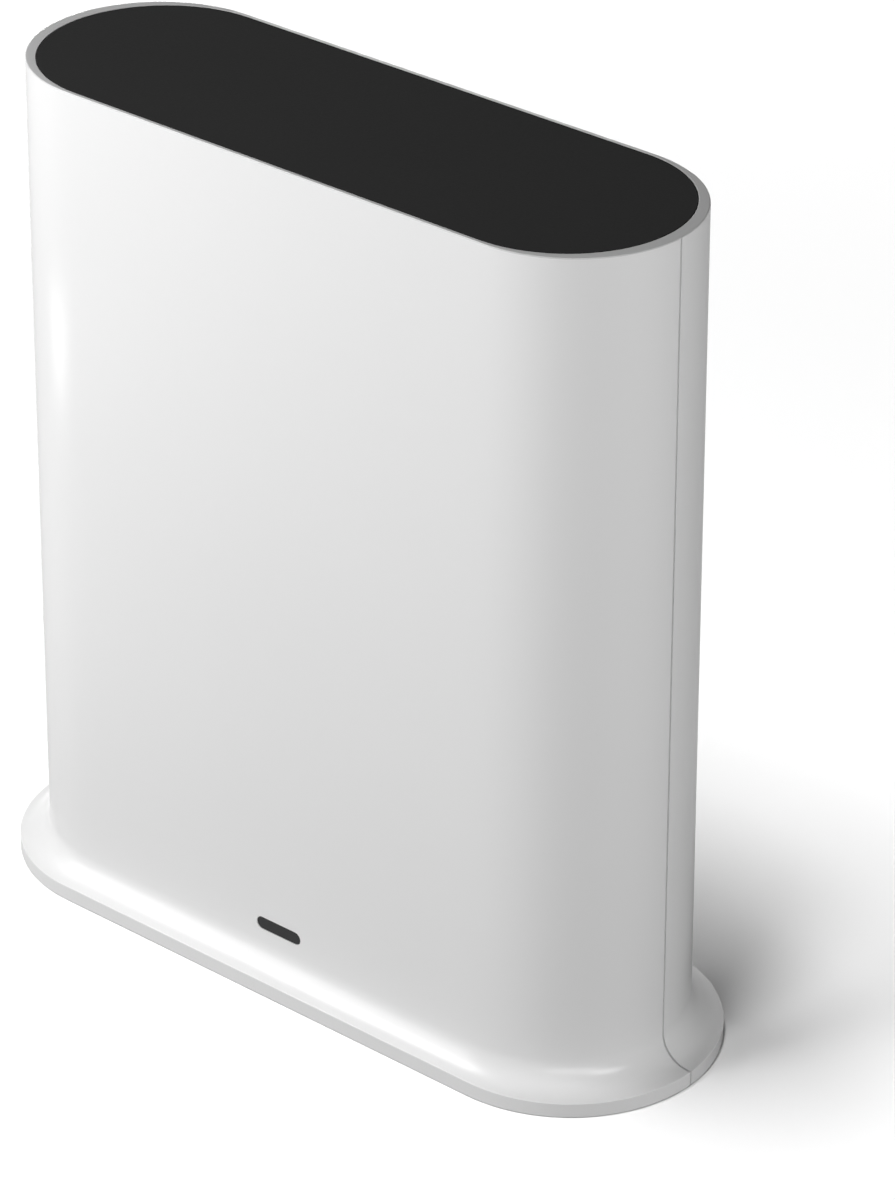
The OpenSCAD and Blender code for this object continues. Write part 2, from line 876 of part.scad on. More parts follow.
module main_board() {
    color("darkgreen")
        difference() {
            block(0, board_z + board_h / 2, board_w, board_h, board_front, board_y);
            for (p = board_holes)
                bar(p[0], p[1], screw_r + screw_gap, board_front - past, board_y + past);
            for (p = sink_places)
                bar(p[0], p[1], small_screw_r + screw_gap, board_front - past, board_y + past);
        }
}

module board_screws() {
    color("gray")
        for (p = board_holes)
            translate([p[0], board_y + screw_head_h, p[1]])
                rotate([90, 0, 0])
                    pan_screw(screw_r, board_screw_l, screw_head_r, screw_head_h);
}

module processor() {
    color("black")
        block(0, chip_mid, chip_w, chip_w, chip_face, board_front);
}

module thermal_pad() {
    pad_w = chip_w - 2 * pad_margin;
    color("lightgray")
        block(0, chip_mid, pad_w, pad_w, pad_face, chip_face);
}

module heat_sink() {
    color("silver")
        difference() {
            union() {
                block(0, chip_mid, sink_w, sink_w, sink_face, pad_face);
                for (i = [0 : fin_count - 1])
                    block(
                        (i - (fin_count - 1) / 2) * fin_pitch, chip_mid, fin_t, sink_w,
                        sink_face - fin_h, pad_face
                    );
                for (p = sink_places)
                    bar(p[0], p[1], sink_foot_r, pad_face - sink_base / 2, board_front);
            }
            for (p = sink_places)
                bar(
                    p[0], p[1], small_screw_r + screw_gap,
                    board_y - small_screw_l - screw_gap, board_front + past
                );
        }
}

module heat_sink_screws() {
    color("gray")
        for (p = sink_places)
            translate([p[0], board_y + small_head_h, p[1]])
                rotate([90, 0, 0])
                    pan_screw(small_screw_r, small_screw_l, small_head_r, small_head_h);
}

module memory_chip(i) {
    memory_x = chip_w / 2 + memory_gap + memory_w / 2;
    color("black")
        block(sides[i - 1] * memory_x, chip_mid, memory_w, memory_h, board_front - memory_t, board_front);
}

module flash_chip() {
    color("black")
        block(-flash_x, chip_mid, flash_w, flash_w, board_front - memory_t, board_front);
}

module radio_shield(i) {
    radio_mid = board_z + radio_z;
    color("lightgray")
        difference() {
            block(sides[i - 1] * radio_x, radio_mid, radio_w, radio_h, board_y, board_y + radio_t);
            block(
                sides[i - 1] * radio_x, radio_mid, radio_w - 2 * radio_sheet, radio_h - 2 * radio_sheet,
                board_y - past, board_y + radio_t - radio_sheet
            );
        }
}

module radio_chip(i) {
    color("black")
        block(
            sides[i - 1] * radio_x, board_z + radio_z, radio_chip_w, radio_chip_w,
            board_y, board_y + radio_chip_t
        );
}

module antenna(i) {
    x = (i - 2) * aerial_pitch;
    z = board_top - aerial_edge;
    blade_y = board_y + aerial_rise - aerial_t;
    first_foot = x - aerial_l / 2 + aerial_foot / 2;
    color("gold")
        union() {
            block(x, z, aerial_l, aerial_w, blade_y, blade_y + aerial_t);
            for (foot = [first_foot, first_foot + 2 * aerial_foot])
                block(foot, z, aerial_foot, aerial_t, board_y, blade_y);
        }
}

module ethernet_shield() {
    color("silver")
        difference() {
            block(jack_x, bay_z, jack_w, jack_h, board_y, mouth_y);
            block(
                jack_x, bay_z, jack_w - 2 * jack_sheet, jack_h - 2 * jack_sheet,
                board_y - past, mouth_y + past
            );
        }
}

// Places of the network contacts across the bay
contact_places = [for (i = [0 : contact_count - 1]) jack_x + (i - (contact_count - 1) / 2) * contact_pitch];

module ethernet_housing() {
    w = jack_w - 2 * jack_sheet - 2 * face_gap;
    h = jack_h - 2 * jack_sheet - 2 * face_gap;
    color("black")
        difference() {
            block(jack_x, bay_z, w, h, board_y, mouth_y - mouth_set);
            block(jack_x, plug_top - plug_h / 2, plug_w, plug_h, mouth_y - plug_depth, mouth_y + past);
            block(
                jack_x, plug_top - plug_h - latch_h / 2 + lap / 2, latch_w, latch_h + lap,
                mouth_y - plug_depth, mouth_y + past
            );
            for (x = contact_places)
                block(
                    x, contact_z + contact_t / 2, contact_w + 2 * face_gap, contact_t + 2 * face_gap,
                    mouth_y - plug_depth, mouth_y - plug_depth + contact_l + 2 * face_gap
                );
        }
}

module ethernet_contacts() {
    from = mouth_y - plug_depth + face_gap;
    color("gold")
        for (x = contact_places)
            block(x, contact_z + contact_t / 2, contact_w, contact_t, from, from + contact_l);
}

module ethernet_transformer() {
    color("black")
        block(jack_x, board_z + power_z, trafo_w, trafo_h, board_y, board_y + trafo_t);
}

module usb_shell() {
    color("silver")
        difference() {
            block(usb_x, bay_z, usb_w, usb_h, board_y, mouth_y);
            block(usb_x, bay_z, usb_w - 2 * usb_sheet, usb_h - 2 * usb_sheet, board_y - past, mouth_y + past);
        }
}

module usb_insulator() {
    w = usb_w - 2 * usb_sheet - 2 * face_gap;
    h = usb_h - 2 * usb_sheet - 2 * face_gap;
    color("black")
        union() {
            block(usb_x, bay_z, w, h, board_y, board_y + usb_block);
            translate([usb_x - tongue_usb_w / 2, board_y + usb_block, usb_tongue_z])
                cube([tongue_usb_w, mouth_y - tongue_usb_set - board_y - usb_block, tongue_usb_t]);
        }
}

module usb_contacts() {
    low = usb_tongue_z - usb_contact_t;
    from = board_y + usb_block;
    first = usb_x - (usb_contact_count - 1) / 2 * usb_contact_pitch - usb_contact_w / 2;
    color("gold")
        for (i = [0 : usb_contact_count - 1])
            translate([first + i * usb_contact_pitch, from, low])
                cube([usb_contact_w, mouth_y - 2 * tongue_usb_set - from, usb_contact_t]);
}

module dc_jack_body() {
    color("black")
        difference() {
            union() {
                block(dc_x, bay_z, dc_w, dc_h, board_y, dc_block_y);
                bar(dc_x, bay_z, dc_nose_r, dc_block_y - past, mouth_y);
            }
            bar(dc_x, bay_z, dc_bore_r, dc_bore_y, mouth_y + past);
            bar(dc_x, bay_z, dc_root_r + face_gap, board_y - past, dc_bore_y + past);
        }
}

module dc_jack_pin() {
    color("silver")
        union() {
            bar(dc_x, bay_z, dc_root_r, board_y, dc_bore_y);
            bar(dc_x, bay_z, dc_pin_r, dc_bore_y, mouth_y - dc_pin_set);
        }
}

module dc_jack_spring() {
    // The strip's outer corners stay inside the round bore
    top = sqrt(pow(dc_bore_r - face_gap, 2) - pow(dc_spring_w / 2, 2));
    color("gold")
        translate([dc_x - dc_spring_w / 2, dc_bore_y, bay_z + top - dc_spring_t])
            cube([dc_spring_w, dc_bore - dc_nose, dc_spring_t]);
}

module inductor(i) {
    color("dimgray")
        block(coil_x + (i - 1) * coil_pitch, board_z + power_z, coil_w, coil_w, board_y, board_y + coil_t);
}

module capacitor(i) {
    color("silver")
        bar(can_x + (i - 1) * can_pitch, board_z + power_z, can_r, board_y, board_y + can_h);
}

// Block of a push switch, with the well that its plunger runs in
module switch_block(x) {
    color("black")
        difference() {
            block(x, bay_z, switch_w, switch_w, board_y, board_y + switch_h);
            bar(x, bay_z, plunger_r + slide_gap, switch_well, board_y + switch_h + past);
        }
}

module switch_plunger(x) {
    color("ivory")
        bar(x, bay_z, plunger_r, board_y + switch_h - plunger_hold, switch_top);
}

module sync_button() {
    color("gainsboro")
        union() {
            bar(sync_x, bay_z, button_r, button_shoulder, bay_y + button_proud);
            bar(sync_x, bay_z, button_flange_r, button_shoulder - button_flange_t, button_shoulder);
            bar(sync_x, bay_z, stem_r, button_back, button_shoulder - button_flange_t);
        }
}

front_shell();
rear_shell();
top_bezel();
top_cap();
base_plate();
base_screws();
for (i = feet) rubber_foot(i);
led_lens();
light_pipe();
status_led();
port_panel();
panel_screws();
main_board();
board_screws();
processor();
thermal_pad();
heat_sink();
heat_sink_screws();
for (i = pair) memory_chip(i);
flash_chip();
for (i = pair) radio_shield(i);
for (i = pair) radio_chip(i);
for (i = trio) antenna(i);
ethernet_shield();
ethernet_housing();
ethernet_contacts();
ethernet_transformer();
usb_shell();
usb_insulator();
usb_contacts();
dc_jack_body();
dc_jack_pin();
dc_jack_spring();
for (i = pair) inductor(i);
for (i = trio) capacitor(i);
sync_button();
switch_block(sync_x);  // sync_switch
switch_plunger(sync_x);  // sync_plunger
switch_block(reset_x);  // reset_switch
switch_plunger(reset_x);  // reset_plunger
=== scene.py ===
import logging
import math
from collections.abc import Callable, Iterable, Sequence
from dataclasses import dataclass, field
from enum import Enum

import bmesh
import bpy
from mathutils import Matrix, Vector


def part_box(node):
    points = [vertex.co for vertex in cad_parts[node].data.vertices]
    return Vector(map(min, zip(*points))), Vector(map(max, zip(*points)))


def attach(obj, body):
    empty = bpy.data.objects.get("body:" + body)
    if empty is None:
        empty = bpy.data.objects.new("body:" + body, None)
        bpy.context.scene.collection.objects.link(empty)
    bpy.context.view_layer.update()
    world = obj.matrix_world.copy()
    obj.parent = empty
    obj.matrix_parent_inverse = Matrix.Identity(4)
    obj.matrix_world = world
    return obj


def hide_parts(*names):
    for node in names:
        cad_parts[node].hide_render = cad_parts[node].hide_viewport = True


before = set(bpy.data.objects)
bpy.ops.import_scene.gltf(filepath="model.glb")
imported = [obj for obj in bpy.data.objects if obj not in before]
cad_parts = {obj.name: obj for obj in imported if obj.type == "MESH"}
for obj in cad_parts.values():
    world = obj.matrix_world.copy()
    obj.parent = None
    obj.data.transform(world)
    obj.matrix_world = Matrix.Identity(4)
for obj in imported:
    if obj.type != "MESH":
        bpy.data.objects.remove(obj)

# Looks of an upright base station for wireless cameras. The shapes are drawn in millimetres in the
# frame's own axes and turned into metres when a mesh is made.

LOG = logging.getLogger("scene")
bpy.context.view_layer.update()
ROOT = "station"
MM = 0.001
TINY = 1e-9
QUARTER = math.pi / 2

# Steps round a corner or along a side that is too small to need more
FEW_STEPS = 2

# Lead of large faces over the roundings beside them, in percent, and where an edge keeps its rounding
FACE_WEIGHT = 90
BEVEL_LAYER = "bevel_weight_edge"

# Octaves of the two noises of a finish, the stretch of a brushed one, and the tracks of a board: how far
# apart they are in mm, the share of that which they take, and their colour
FINE_DETAIL = 3.0
BROAD_DETAIL = 2.0
BRUSH_STRETCH = 14.0
TRACK_SIZE = 6.0
TRACK_SHARE = 0.03
TRACK_COLOR = (0.05, 0.16, 0.07)

# Height and size in metres of the lamps that light the floor alone
FLOOR_LAMP_Z = 3.00
FLOOR_LAMP_SIZE = (0.36, 0.52)

Point2 = tuple[float, float]
Point3 = tuple[float, float, float]
Color = tuple[float, float, float]
Outline = list[Point2]
Ring = list[bmesh.types.BMVert]
Feed = bpy.types.NodeSocket | bool | float | tuple[float, ...]


class Axis(Enum):
    """The frame axis that a shape is drawn along."""

    ALONG_Y = "y"
    ALONG_Z = "z"

    def place(self, u: float, v: float, t: float) -> Vector:
        """Point of the frame for a plan point (u, v) at t along the axis."""
        return Vector((u, t, v)) if self is Axis.ALONG_Y else Vector((u, v, t))


class Cut(Enum):
    """What a helper solid does to the solid that it meets."""

    AWAY = "DIFFERENCE"
    JOIN = "UNION"


class Grain(Enum):
    """Kind of fine surface structure on a finish."""

    MOULDED = "moulded"
    BRUSHED = "brushed"
    MASKED = "masked"


class Reach(Enum):
    """How the floor stands to a lamp: left out of its light, or the only thing in it."""

    OBJECT = "EXCLUDE"
    FLOOR = "INCLUDE"


def round_outline(radius: float, count: int = 48) -> Outline:
    """Circle about the origin.

    Args:
        radius: Radius in mm.
        count: Number of points.

    Returns:
        The points, counter-clockwise.
    """
    step = 2 * math.pi / count
    return [(radius * math.cos(i * step), radius * math.sin(i * step)) for i in range(count)]


def rect_outline(width: float, height: float, corner: float, count: int = 6) -> Outline:
    """Rectangle about the origin with rounded corners.

    Args:
        width: Size along u, in mm.
        height: Size along v, in mm.
        corner: Corner radius in mm.
        count: Steps round each corner.

    Returns:
        The points, counter-clockwise.
    """
    points: Outline = []
    half_w = width / 2 - corner
    half_h = height / 2 - corner
    for quarter, (su, sv) in enumerate(((1, 1), (-1, 1), (-1, -1), (1, -1))):
        for i in range(count + 1):
            turn = QUARTER * (quarter + i / count)
            points.append((su * half_w + corner * math.cos(turn), sv * half_h + corner * math.sin(turn)))
    return points


def stadium_outline(half: float, radius: float, count: int = 40, runs: int = 8) -> Outline:
    """Two half circles joined by straight sides.

    Args:
        half: Half of the straight length in mm.
        radius: End radius in mm.
        count: Steps round each end.
        runs: Steps along each straight side.

    Returns:
        The points, counter-clockwise, starting at the lower end of the right half circle.
    """
    points: Outline = []
    for side in (1, -1):
        for i in range(count + 1):
            turn = math.pi * i / count - QUARTER * side
            points.append((side * half + radius * math.cos(turn), radius * math.sin(turn)))
        for i in range(1, runs):
            points.append((side * half * (1 - 2 * i / runs), side * radius))
    return points


def moved(outline: Outline, du: float, dv: float) -> Outline:
    """The outline shifted by (du, dv) mm."""
    return [(u + du, v + dv) for u, v in outline]


def linked(name: str, data: bpy.types.ID) -> bpy.types.Object:
    """New object with that data, linked to the scene.

    Args:
        name: Name of the object.
        data: Mesh, light or camera that it shows.

    Returns:
        The new object.
    """
    item = bpy.data.objects.new(name, data)
    bpy.context.scene.collection.objects.link(item)
    return item


@dataclass(frozen=True)
class Wiring:
    """A node tree that is being wired."""

    tree: bpy.types.NodeTree

    def add(self, kind: str, inputs: dict[str | int, Feed] | None = None, **settings: str) -> bpy.types.Node:
        """Adds a node and feeds its inputs.

        Args:
            kind: Type of the node.
            inputs: What each input takes, by name or number: a value, or the socket that it is linked to.
            **settings: Properties of the node itself.

        Returns:
            The new node.
        """
        node = self.tree.nodes.new(kind)
        for name, value in settings.items():
            setattr(node, name, value)
        self.feed(node, inputs or {})
        return node

    def feed(self, node: bpy.types.Node, inputs: dict[str | int, Feed]) -> None:
        """Sets or links inputs of a node.

        Args:
            node: The node.
            inputs: What each input takes, as in add.
        """
        for key, value in inputs.items():
            if isinstance(value, bpy.types.NodeSocket):
                self.tree.links.new(value, node.inputs[key])
            else:
                node.inputs[key].default_value = value


class Draft:
    """A mesh being drawn, in millimetres."""

    def __init__(self) -> None:
        """Starts with an empty mesh."""
        self.bm = bmesh.new()

    def ring(self, points: Iterable[Vector]) -> Ring:
        """New vertices at the points, in order."""
        return [self.bm.verts.new(p) for p in points]

    def skin(self, first: Ring, second: Ring) -> None:
        """Quads between two closed rings of the same length.

        Args:
            first: One ring.
            second: The other ring.
        """
        n = len(first)
        for i in range(n):
            j = (i + 1) % n
            self.bm.faces.new((first[i], first[j], second[j], second[i]))

    def loft(self, sections: Sequence[tuple[Outline, float]], axis: Axis, hollow: bool = False) -> "Draft":
        """Skins outlines of equal length one after the other.

        Args:
            sections: Outlines with their places along the axis, in mm.
            axis: Axis of the loft.
            hollow: Joins the last section to the first, for a ring, where otherwise both ends are capped.

        Returns:
            The draft itself.
        """
        return self.sweep([[axis.place(u, v, t) for u, v in outline] for outline, t in sections], hollow)

    def turn(self, profile: Sequence[Point2], centre: Point2, axis: Axis, count: int = 48) -> "Draft":
        """Turned shape with flat ends.

        Args:
            profile: (radius, place along the axis) pairs in mm.
            centre: Place of the axis in plan, in mm.
            axis: Axis of the turning.
            count: Steps round the axis.

        Returns:
            The draft itself.
        """
        return self.loft([(moved(round_outline(r, count), *centre), t) for r, t in profile], axis)

    def sweep(self, sections: Sequence[Sequence[Vector]], hollow: bool = False) -> "Draft":
        """Skins closed sections of equal length one after the other.

        Args:
            sections: Points of each section, in mm.
            hollow: Joins the last section to the first, for a ring, where otherwise both ends are capped.

        Returns:
            The draft itself.
        """
        rings = [self.ring(section) for section in sections]
        for first, second in zip(rings, rings[1:]):
            self.skin(first, second)
        if hollow:
            self.skin(rings[-1], rings[0])
        else:
            self.bm.faces.new(rings[0])
            self.bm.faces.new(rings[-1])
        return self

    def solid(self, name: str) -> bpy.types.Object:
        """Turns the draft into an object in metres, faces outward.

        Args:
            name: Name of the object.

        Returns:
            The new object, linked to the scene.
        """
        bmesh.ops.scale(self.bm, vec=(MM, MM, MM), verts=self.bm.verts)
        bmesh.ops.recalc_face_normals(self.bm, faces=self.bm.faces)
        mesh = bpy.data.meshes.new(name)
        self.bm.to_mesh(mesh)
        self.bm.free()
        return linked(name, mesh)


def prism(name: str, outline: Outline, low: float, high: float, axis: Axis) -> bpy.types.Object:
    """Straight solid with the same outline at both ends.

    Args:
        name: Name of the object.
        outline: Outline across the axis, in mm.
        low: Place of one end along the axis, in mm.
        high: Place of the other end, in mm.
        axis: Axis of the solid.

    Returns:
        The new object, linked to the scene.
    """
    return Draft().loft([(outline, low), (outline, high)], axis).solid(name)


def settle(item: bpy.types.Object) -> None:
    """Makes the modifiers of an object part of its mesh.

    Args:
        item: Object to settle.
    """
    bpy.context.view_layer.update()
    graph = bpy.context.evaluated_depsgraph_get()
    old = item.data
    fresh = bpy.data.meshes.new_from_object(item.evaluated_get(graph), depsgraph=graph)
    item.modifiers.clear()
    item.data = fresh
    bpy.data.meshes.remove(old)


def carve(item: bpy.types.Object, tools: Iterable[bpy.types.Object], how: Cut = Cut.AWAY) -> None:
    """Cuts helper solids out of an object, or joins them to it, and removes the helpers.

    Args:
        item: Object that is changed.
        tools: Helper solids.
        how: Cut away or join.
    """
    for tool in tools:
        step = item.modifiers.new("carve", "BOOLEAN")
        step.operation = how.value
        step.solver = "EXACT"
        step.object = tool
        settle(item)
        bpy.data.objects.remove(tool)


@dataclass(frozen=True)
class EdgeRule:
    """A rounding in mm for the sharp edges whose middle, in mm, passes a test."""

    width: float
    test: Callable[[Vector], bool]


def soften(item: bpy.types.Object, rules: Sequence[EdgeRule], segments: int = 3, sharp: float = 30.0) -> None:
    """Rounds sharp edges by rule and shades the object smooth between the edges that stay sharp.

    Args:
        item: Object to finish.
        rules: Roundings, of which the first that fits an edge counts.
        segments: Steps across each rounding.
        sharp: Angle in degrees from which an edge counts as sharp.
    """
    widest = max(rule.width for rule in rules)
    limit = math.radians(sharp)
    bm = bmesh.new()
    bm.from_mesh(item.data)
    layers = bm.edges.layers.float
    weights = layers.get(BEVEL_LAYER) or layers.new(BEVEL_LAYER)
    for edge in bm.edges:
        if not edge.is_manifold or edge.calc_face_angle(0.0) < limit:
            continue
        middle = (edge.verts[0].co + edge.verts[1].co) / 2 / MM
        for rule in rules:
            if rule.test(middle):
                edge[weights] = rule.width / widest
                break
    bm.to_mesh(item.data)
    bm.free()
    bevel = item.modifiers.new("round", "BEVEL")
    bevel.limit_method = "WEIGHT"
    bevel.width = widest * MM
    bevel.segments = segments
    bevel.use_clamp_overlap = True
    settle(item)
    smooth(item)


def smooth(item: bpy.types.Object, sharp: float = 40.0) -> None:
    """Smooth shading with flat faces kept flat.

    Args:
        item: Object to shade.
        sharp: Angle in degrees from which an edge stays sharp.
    """
    item.data.shade_smooth()
    item.data.set_sharp_from_angle(angle=math.radians(sharp))
    even = item.modifiers.new("even", "WEIGHTED_NORMAL")
    even.keep_sharp = True
    even.weight = FACE_WEIGHT
    settle(item)


@dataclass(frozen=True)
class Finish:
    """A surface with a colour, a gloss and a fine grain, worked out from object coordinates."""

    slot: str
    color: Color
    roughness: float
    metallic: float = 0.0
    mottle: float = 0.05
    mottle_size: float = 30.0
    grain: Grain = Grain.MOULDED
    grain_size: float = 0.35
    grain_depth: float = 0.006
    gloss_change: float = 0.08
    coat: float = 0.0
    specular: float = 0.5

    def material(self) -> bpy.types.Material:
        """The material of this finish, made on first use."""
        known = bpy.data.materials.get("finish_" + self.slot)
        return known if known else self._make()

    def _make(self) -> bpy.types.Material:
        """Builds the node tree.

        Returns:
            The new material.
        """
        material = bpy.data.materials.new("finish_" + self.slot)
        material.use_nodes = True
        wiring = Wiring(material.node_tree)
        coords = wiring.add("ShaderNodeTexCoord").outputs["Object"]
        fine = self._noise(wiring, coords, self.grain_size, FINE_DETAIL)
        broad = self._noise(wiring, coords, self.mottle_size, BROAD_DETAIL)
        half = self.gloss_change / 2
        gloss = wiring.add("ShaderNodeMapRange", {
            "Value": fine.outputs["Fac"], "To Min": self.roughness - half, "To Max": self.roughness + half})
        bump = wiring.add("ShaderNodeBump", {
            "Distance": self.grain_depth * MM, "Height": fine.outputs["Fac"]})
        wiring.feed(material.node_tree.nodes["Principled BSDF"], {
            "Metallic": self.metallic, "Coat Weight": self.coat, "Specular IOR Level": self.specular,
            "Base Color": self._tint(wiring, broad, fine), "Roughness": gloss.outputs["Result"],
            "Normal": bump.outputs["Normal"]})
        return material

    def _noise(self, wiring: Wiring, coords: bpy.types.NodeSocket, size: float,
               detail: float) -> bpy.types.Node:
        """Noise of a given size, drawn out along X on brushed finishes.

        Args:
            wiring: Tree of the material.
            coords: Socket of the object coordinates.
            size: Size of the pattern in mm.
            detail: Octaves of the noise.

        Returns:
            The noise node.
        """
        along = BRUSH_STRETCH if self.grain is Grain.BRUSHED else 1.0
        stretch = wiring.add("ShaderNodeMapping", {"Vector": coords, "Scale": (1 / along, 1.0, 1.0)})
        return wiring.add("ShaderNodeTexNoise", {
            "Vector": stretch.outputs["Vector"], "Scale": 1 / (size * MM), "Detail": detail})

    def _tint(self, wiring: Wiring, broad: bpy.types.Node, fine: bpy.types.Node) -> bpy.types.NodeSocket:
        """Base colour with a broad drift, and tracks under the mask of a board.

        Args:
            wiring: Tree of the material.
            broad: Broad noise.
            fine: Fine noise.

        Returns:
            The socket that carries the colour.
        """
        low, high = 1 - self.mottle, 1 + self.mottle
        drift = wiring.add("ShaderNodeMix", {
            "Factor": broad.outputs["Fac"], "A": (*(min(1.0, c * low) for c in self.color), 1.0),
            "B": (*(min(1.0, c * high) for c in self.color), 1.0)}, data_type="RGBA")
        if self.grain is not Grain.MASKED:
            return drift.outputs["Result"]
        tracks = wiring.add("ShaderNodeTexBrick", {
            "Vector": fine.inputs["Vector"].links[0].from_socket, "Scale": 1 / (TRACK_SIZE * MM),
            "Mortar Size": TRACK_SHARE, "Mortar": (*TRACK_COLOR, 1.0),
            "Color1": drift.outputs["Result"], "Color2": drift.outputs["Result"]})
        return tracks.outputs["Color"]


WHITE_SHELL = Finish("white_shell", (0.78, 0.78, 0.78), 0.25, mottle=0.012, mottle_size=60.0,
                     grain_size=0.5, grain_depth=0.002, gloss_change=0.05, specular=0.4)
BEZEL_GREY = Finish("bezel_grey", (0.58, 0.58, 0.58), 0.38, mottle=0.03, grain_depth=0.003)
CAP_BLACK = Finish("cap_black", (0.021, 0.021, 0.021), 0.62, mottle=0.06, grain_size=0.45,
                   grain_depth=0.02, specular=0.05)
BASE_GREY = Finish("base_grey", (0.30, 0.30, 0.31), 0.55, grain_size=0.6, grain_depth=0.02)
FOOT_RUBBER = Finish("foot_rubber", (0.025, 0.025, 0.025), 0.75, grain_size=0.5, grain_depth=0.03)
SCREW_STEEL = Finish("screw_steel", (0.48, 0.48, 0.50), 0.32, metallic=1.0, grain=Grain.BRUSHED)
LENS_SMOKE = Finish("lens_smoke", (0.035, 0.035, 0.036), 0.20, grain_depth=0.001, specular=0.15)
PIPE_CLEAR = Finish("pipe_clear", (0.75, 0.78, 0.80), 0.12, coat=0.3)
LED_PACKAGE = Finish("led_package", (0.78, 0.74, 0.52), 0.35)
PANEL_BLACK = Finish("panel_black", (0.035, 0.035, 0.036), 0.58, grain_size=0.5, grain_depth=0.025)
BOARD_GREEN = Finish("board_green", (0.018, 0.085, 0.035), 0.30, grain=Grain.MASKED, coat=0.3)
CHIP_BLACK = Finish("chip_black", (0.022, 0.022, 0.023), 0.52, grain_size=0.25, grain_depth=0.01)
PAD_GREY = Finish("pad_grey", (0.42, 0.43, 0.46), 0.80, grain_size=0.4, grain_depth=0.03)
SINK_ALUMINIUM = Finish("sink_aluminium", (0.62, 0.62, 0.63), 0.36, metallic=1.0, grain=Grain.BRUSHED)
SHIELD_TIN = Finish("shield_tin", (0.66, 0.66, 0.64), 0.28, metallic=1.0, grain=Grain.BRUSHED,
                    grain_depth=0.002)
CONTACT_GOLD = Finish("contact_gold", (0.83, 0.60, 0.24), 0.22, metallic=1.0, grain=Grain.BRUSHED,
                      grain_depth=0.001)
HOUSING_BLACK = Finish("housing_black", (0.028, 0.028, 0.028), 0.42, grain_size=0.3, grain_depth=0.008)
COIL_GREY = Finish("coil_grey", (0.09, 0.09, 0.095), 0.62, grain_size=0.3, grain_depth=0.03)
CAN_ALUMINIUM = Finish("can_aluminium", (0.70, 0.70, 0.70), 0.24, metallic=1.0, grain=Grain.BRUSHED)
BUTTON_GREY = Finish("button_grey", (0.22, 0.22, 0.225), 0.42, grain_size=0.4, grain_depth=0.008)
PLUNGER_IVORY = Finish("plunger_ivory", (0.72, 0.68, 0.55), 0.40)


def deliver(item: bpy.types.Object, finish: Finish, nodes: Sequence[str], body: str = ROOT) -> None:
    """Gives a finished piece its material and its place in the frame.

    Args:
        item: Finished piece.
        finish: Its finish.
        nodes: CAD nodes that it stands for.
        body: CAD body that it moves with.
    """
    item.data.materials.clear()
    item.data.materials.append(finish.material())
    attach(item, body)
    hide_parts(*nodes)
    LOG.info("%s stands for %s: %d faces", item.name, ", ".join(nodes), len(item.data.polygons))


def dress(node: str, finish: Finish) -> None:
    """Gives a CAD node that stays as it is its finish.

    Args:
        node: Name of the CAD node.
        finish: Its finish.
    """
    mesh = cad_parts[node].data
    mesh.materials.clear()
    mesh.materials.append(finish.material())
    LOG.info("%s keeps its CAD mesh in %s", node, finish.slot)


def span(node: str) -> tuple[Vector, Vector]:
    """Lowest and highest corner of a CAD node in mm."""
    low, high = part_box(node)
    return low / MM, high / MM


def middle(node: str) -> Vector:
    """Middle of a CAD node's box in mm."""
    low, high = span(node)
    return (low + high) / 2


class Repeater:
    """A Geometry Nodes tree that sets one prototype at every vertex of its host."""

    def __init__(self) -> None:
        """Builds the tree."""
        self.tree = bpy.data.node_groups.new("repeat_at_points", "GeometryNodeTree")
        self.sockets: dict[str, str] = {}
        self._declare()
        self._wire()

    def _declare(self) -> None:
        """Names the inputs and the output of the tree."""
        kinds = {"Geometry": "NodeSocketGeometry", "Prototype": "NodeSocketObject",
                 "Turn": "NodeSocketVector", "Seed": "NodeSocketInt", "Material": "NodeSocketMaterial"}
        for name, kind in kinds.items():
            made = self.tree.interface.new_socket(name, in_out="INPUT", socket_type=kind)
            self.sockets[name] = made.identifier
        self.tree.interface.new_socket("Geometry", in_out="OUTPUT", socket_type="NodeSocketGeometry")

    def _wire(self) -> None:
        """Points, instances with a drawn turn, realised, with a material."""
        wiring = Wiring(self.tree)
        given = wiring.add("NodeGroupInput").outputs
        shape = wiring.add("GeometryNodeObjectInfo", {"Object": given["Prototype"], "As Instance": True})
        draw = wiring.add("FunctionNodeRandomValue", {
            0: (0.0, 0.0, 0.0), 1: given["Turn"], "Seed": given["Seed"]}, data_type="FLOAT_VECTOR")
        place = wiring.add("GeometryNodeInstanceOnPoints", {
            "Points": given["Geometry"], "Instance": shape.outputs["Geometry"], "Rotation": draw.outputs[0]})
        real = wiring.add("GeometryNodeRealizeInstances", {"Geometry": place.outputs["Instances"]})
        paint = wiring.add("GeometryNodeSetMaterial", {
            "Geometry": real.outputs["Geometry"], "Material": given["Material"]})
        wiring.add("NodeGroupOutput", {"Geometry": paint.outputs["Geometry"]})

    def scatter(self, name: str, prototype: bpy.types.Object, places: Sequence[Vector], finish: Finish,
                turn: Sequence[float] = (0.0, 0.0, 0.0), seed: int = 5) -> bpy.types.Object:
        """Copies of a prototype at given places as one plain mesh.

        Args:
            name: Name of the new object.
            prototype: Object drawn about the origin, which is removed afterwards.
            places: Places in mm.
            finish: Finish of the copies.
            turn: Largest turn about each axis, in radians.
            seed: Seed of the drawn turns.

        Returns:
            The new object.
        """
        mesh = bpy.data.meshes.new(name)
        mesh.from_pydata([tuple(p * MM) for p in places], [], [])
        item = linked(name, mesh)
        step = item.modifiers.new("repeat", "NODES")
        step.node_group = self.tree
        step[self.sockets["Prototype"]] = prototype
        step[self.sockets["Turn"]] = turn
        step[self.sockets["Seed"]] = seed
        step[self.sockets["Material"]] = finish.material()
        settle(item)
        bpy.data.objects.remove(prototype)
        return item


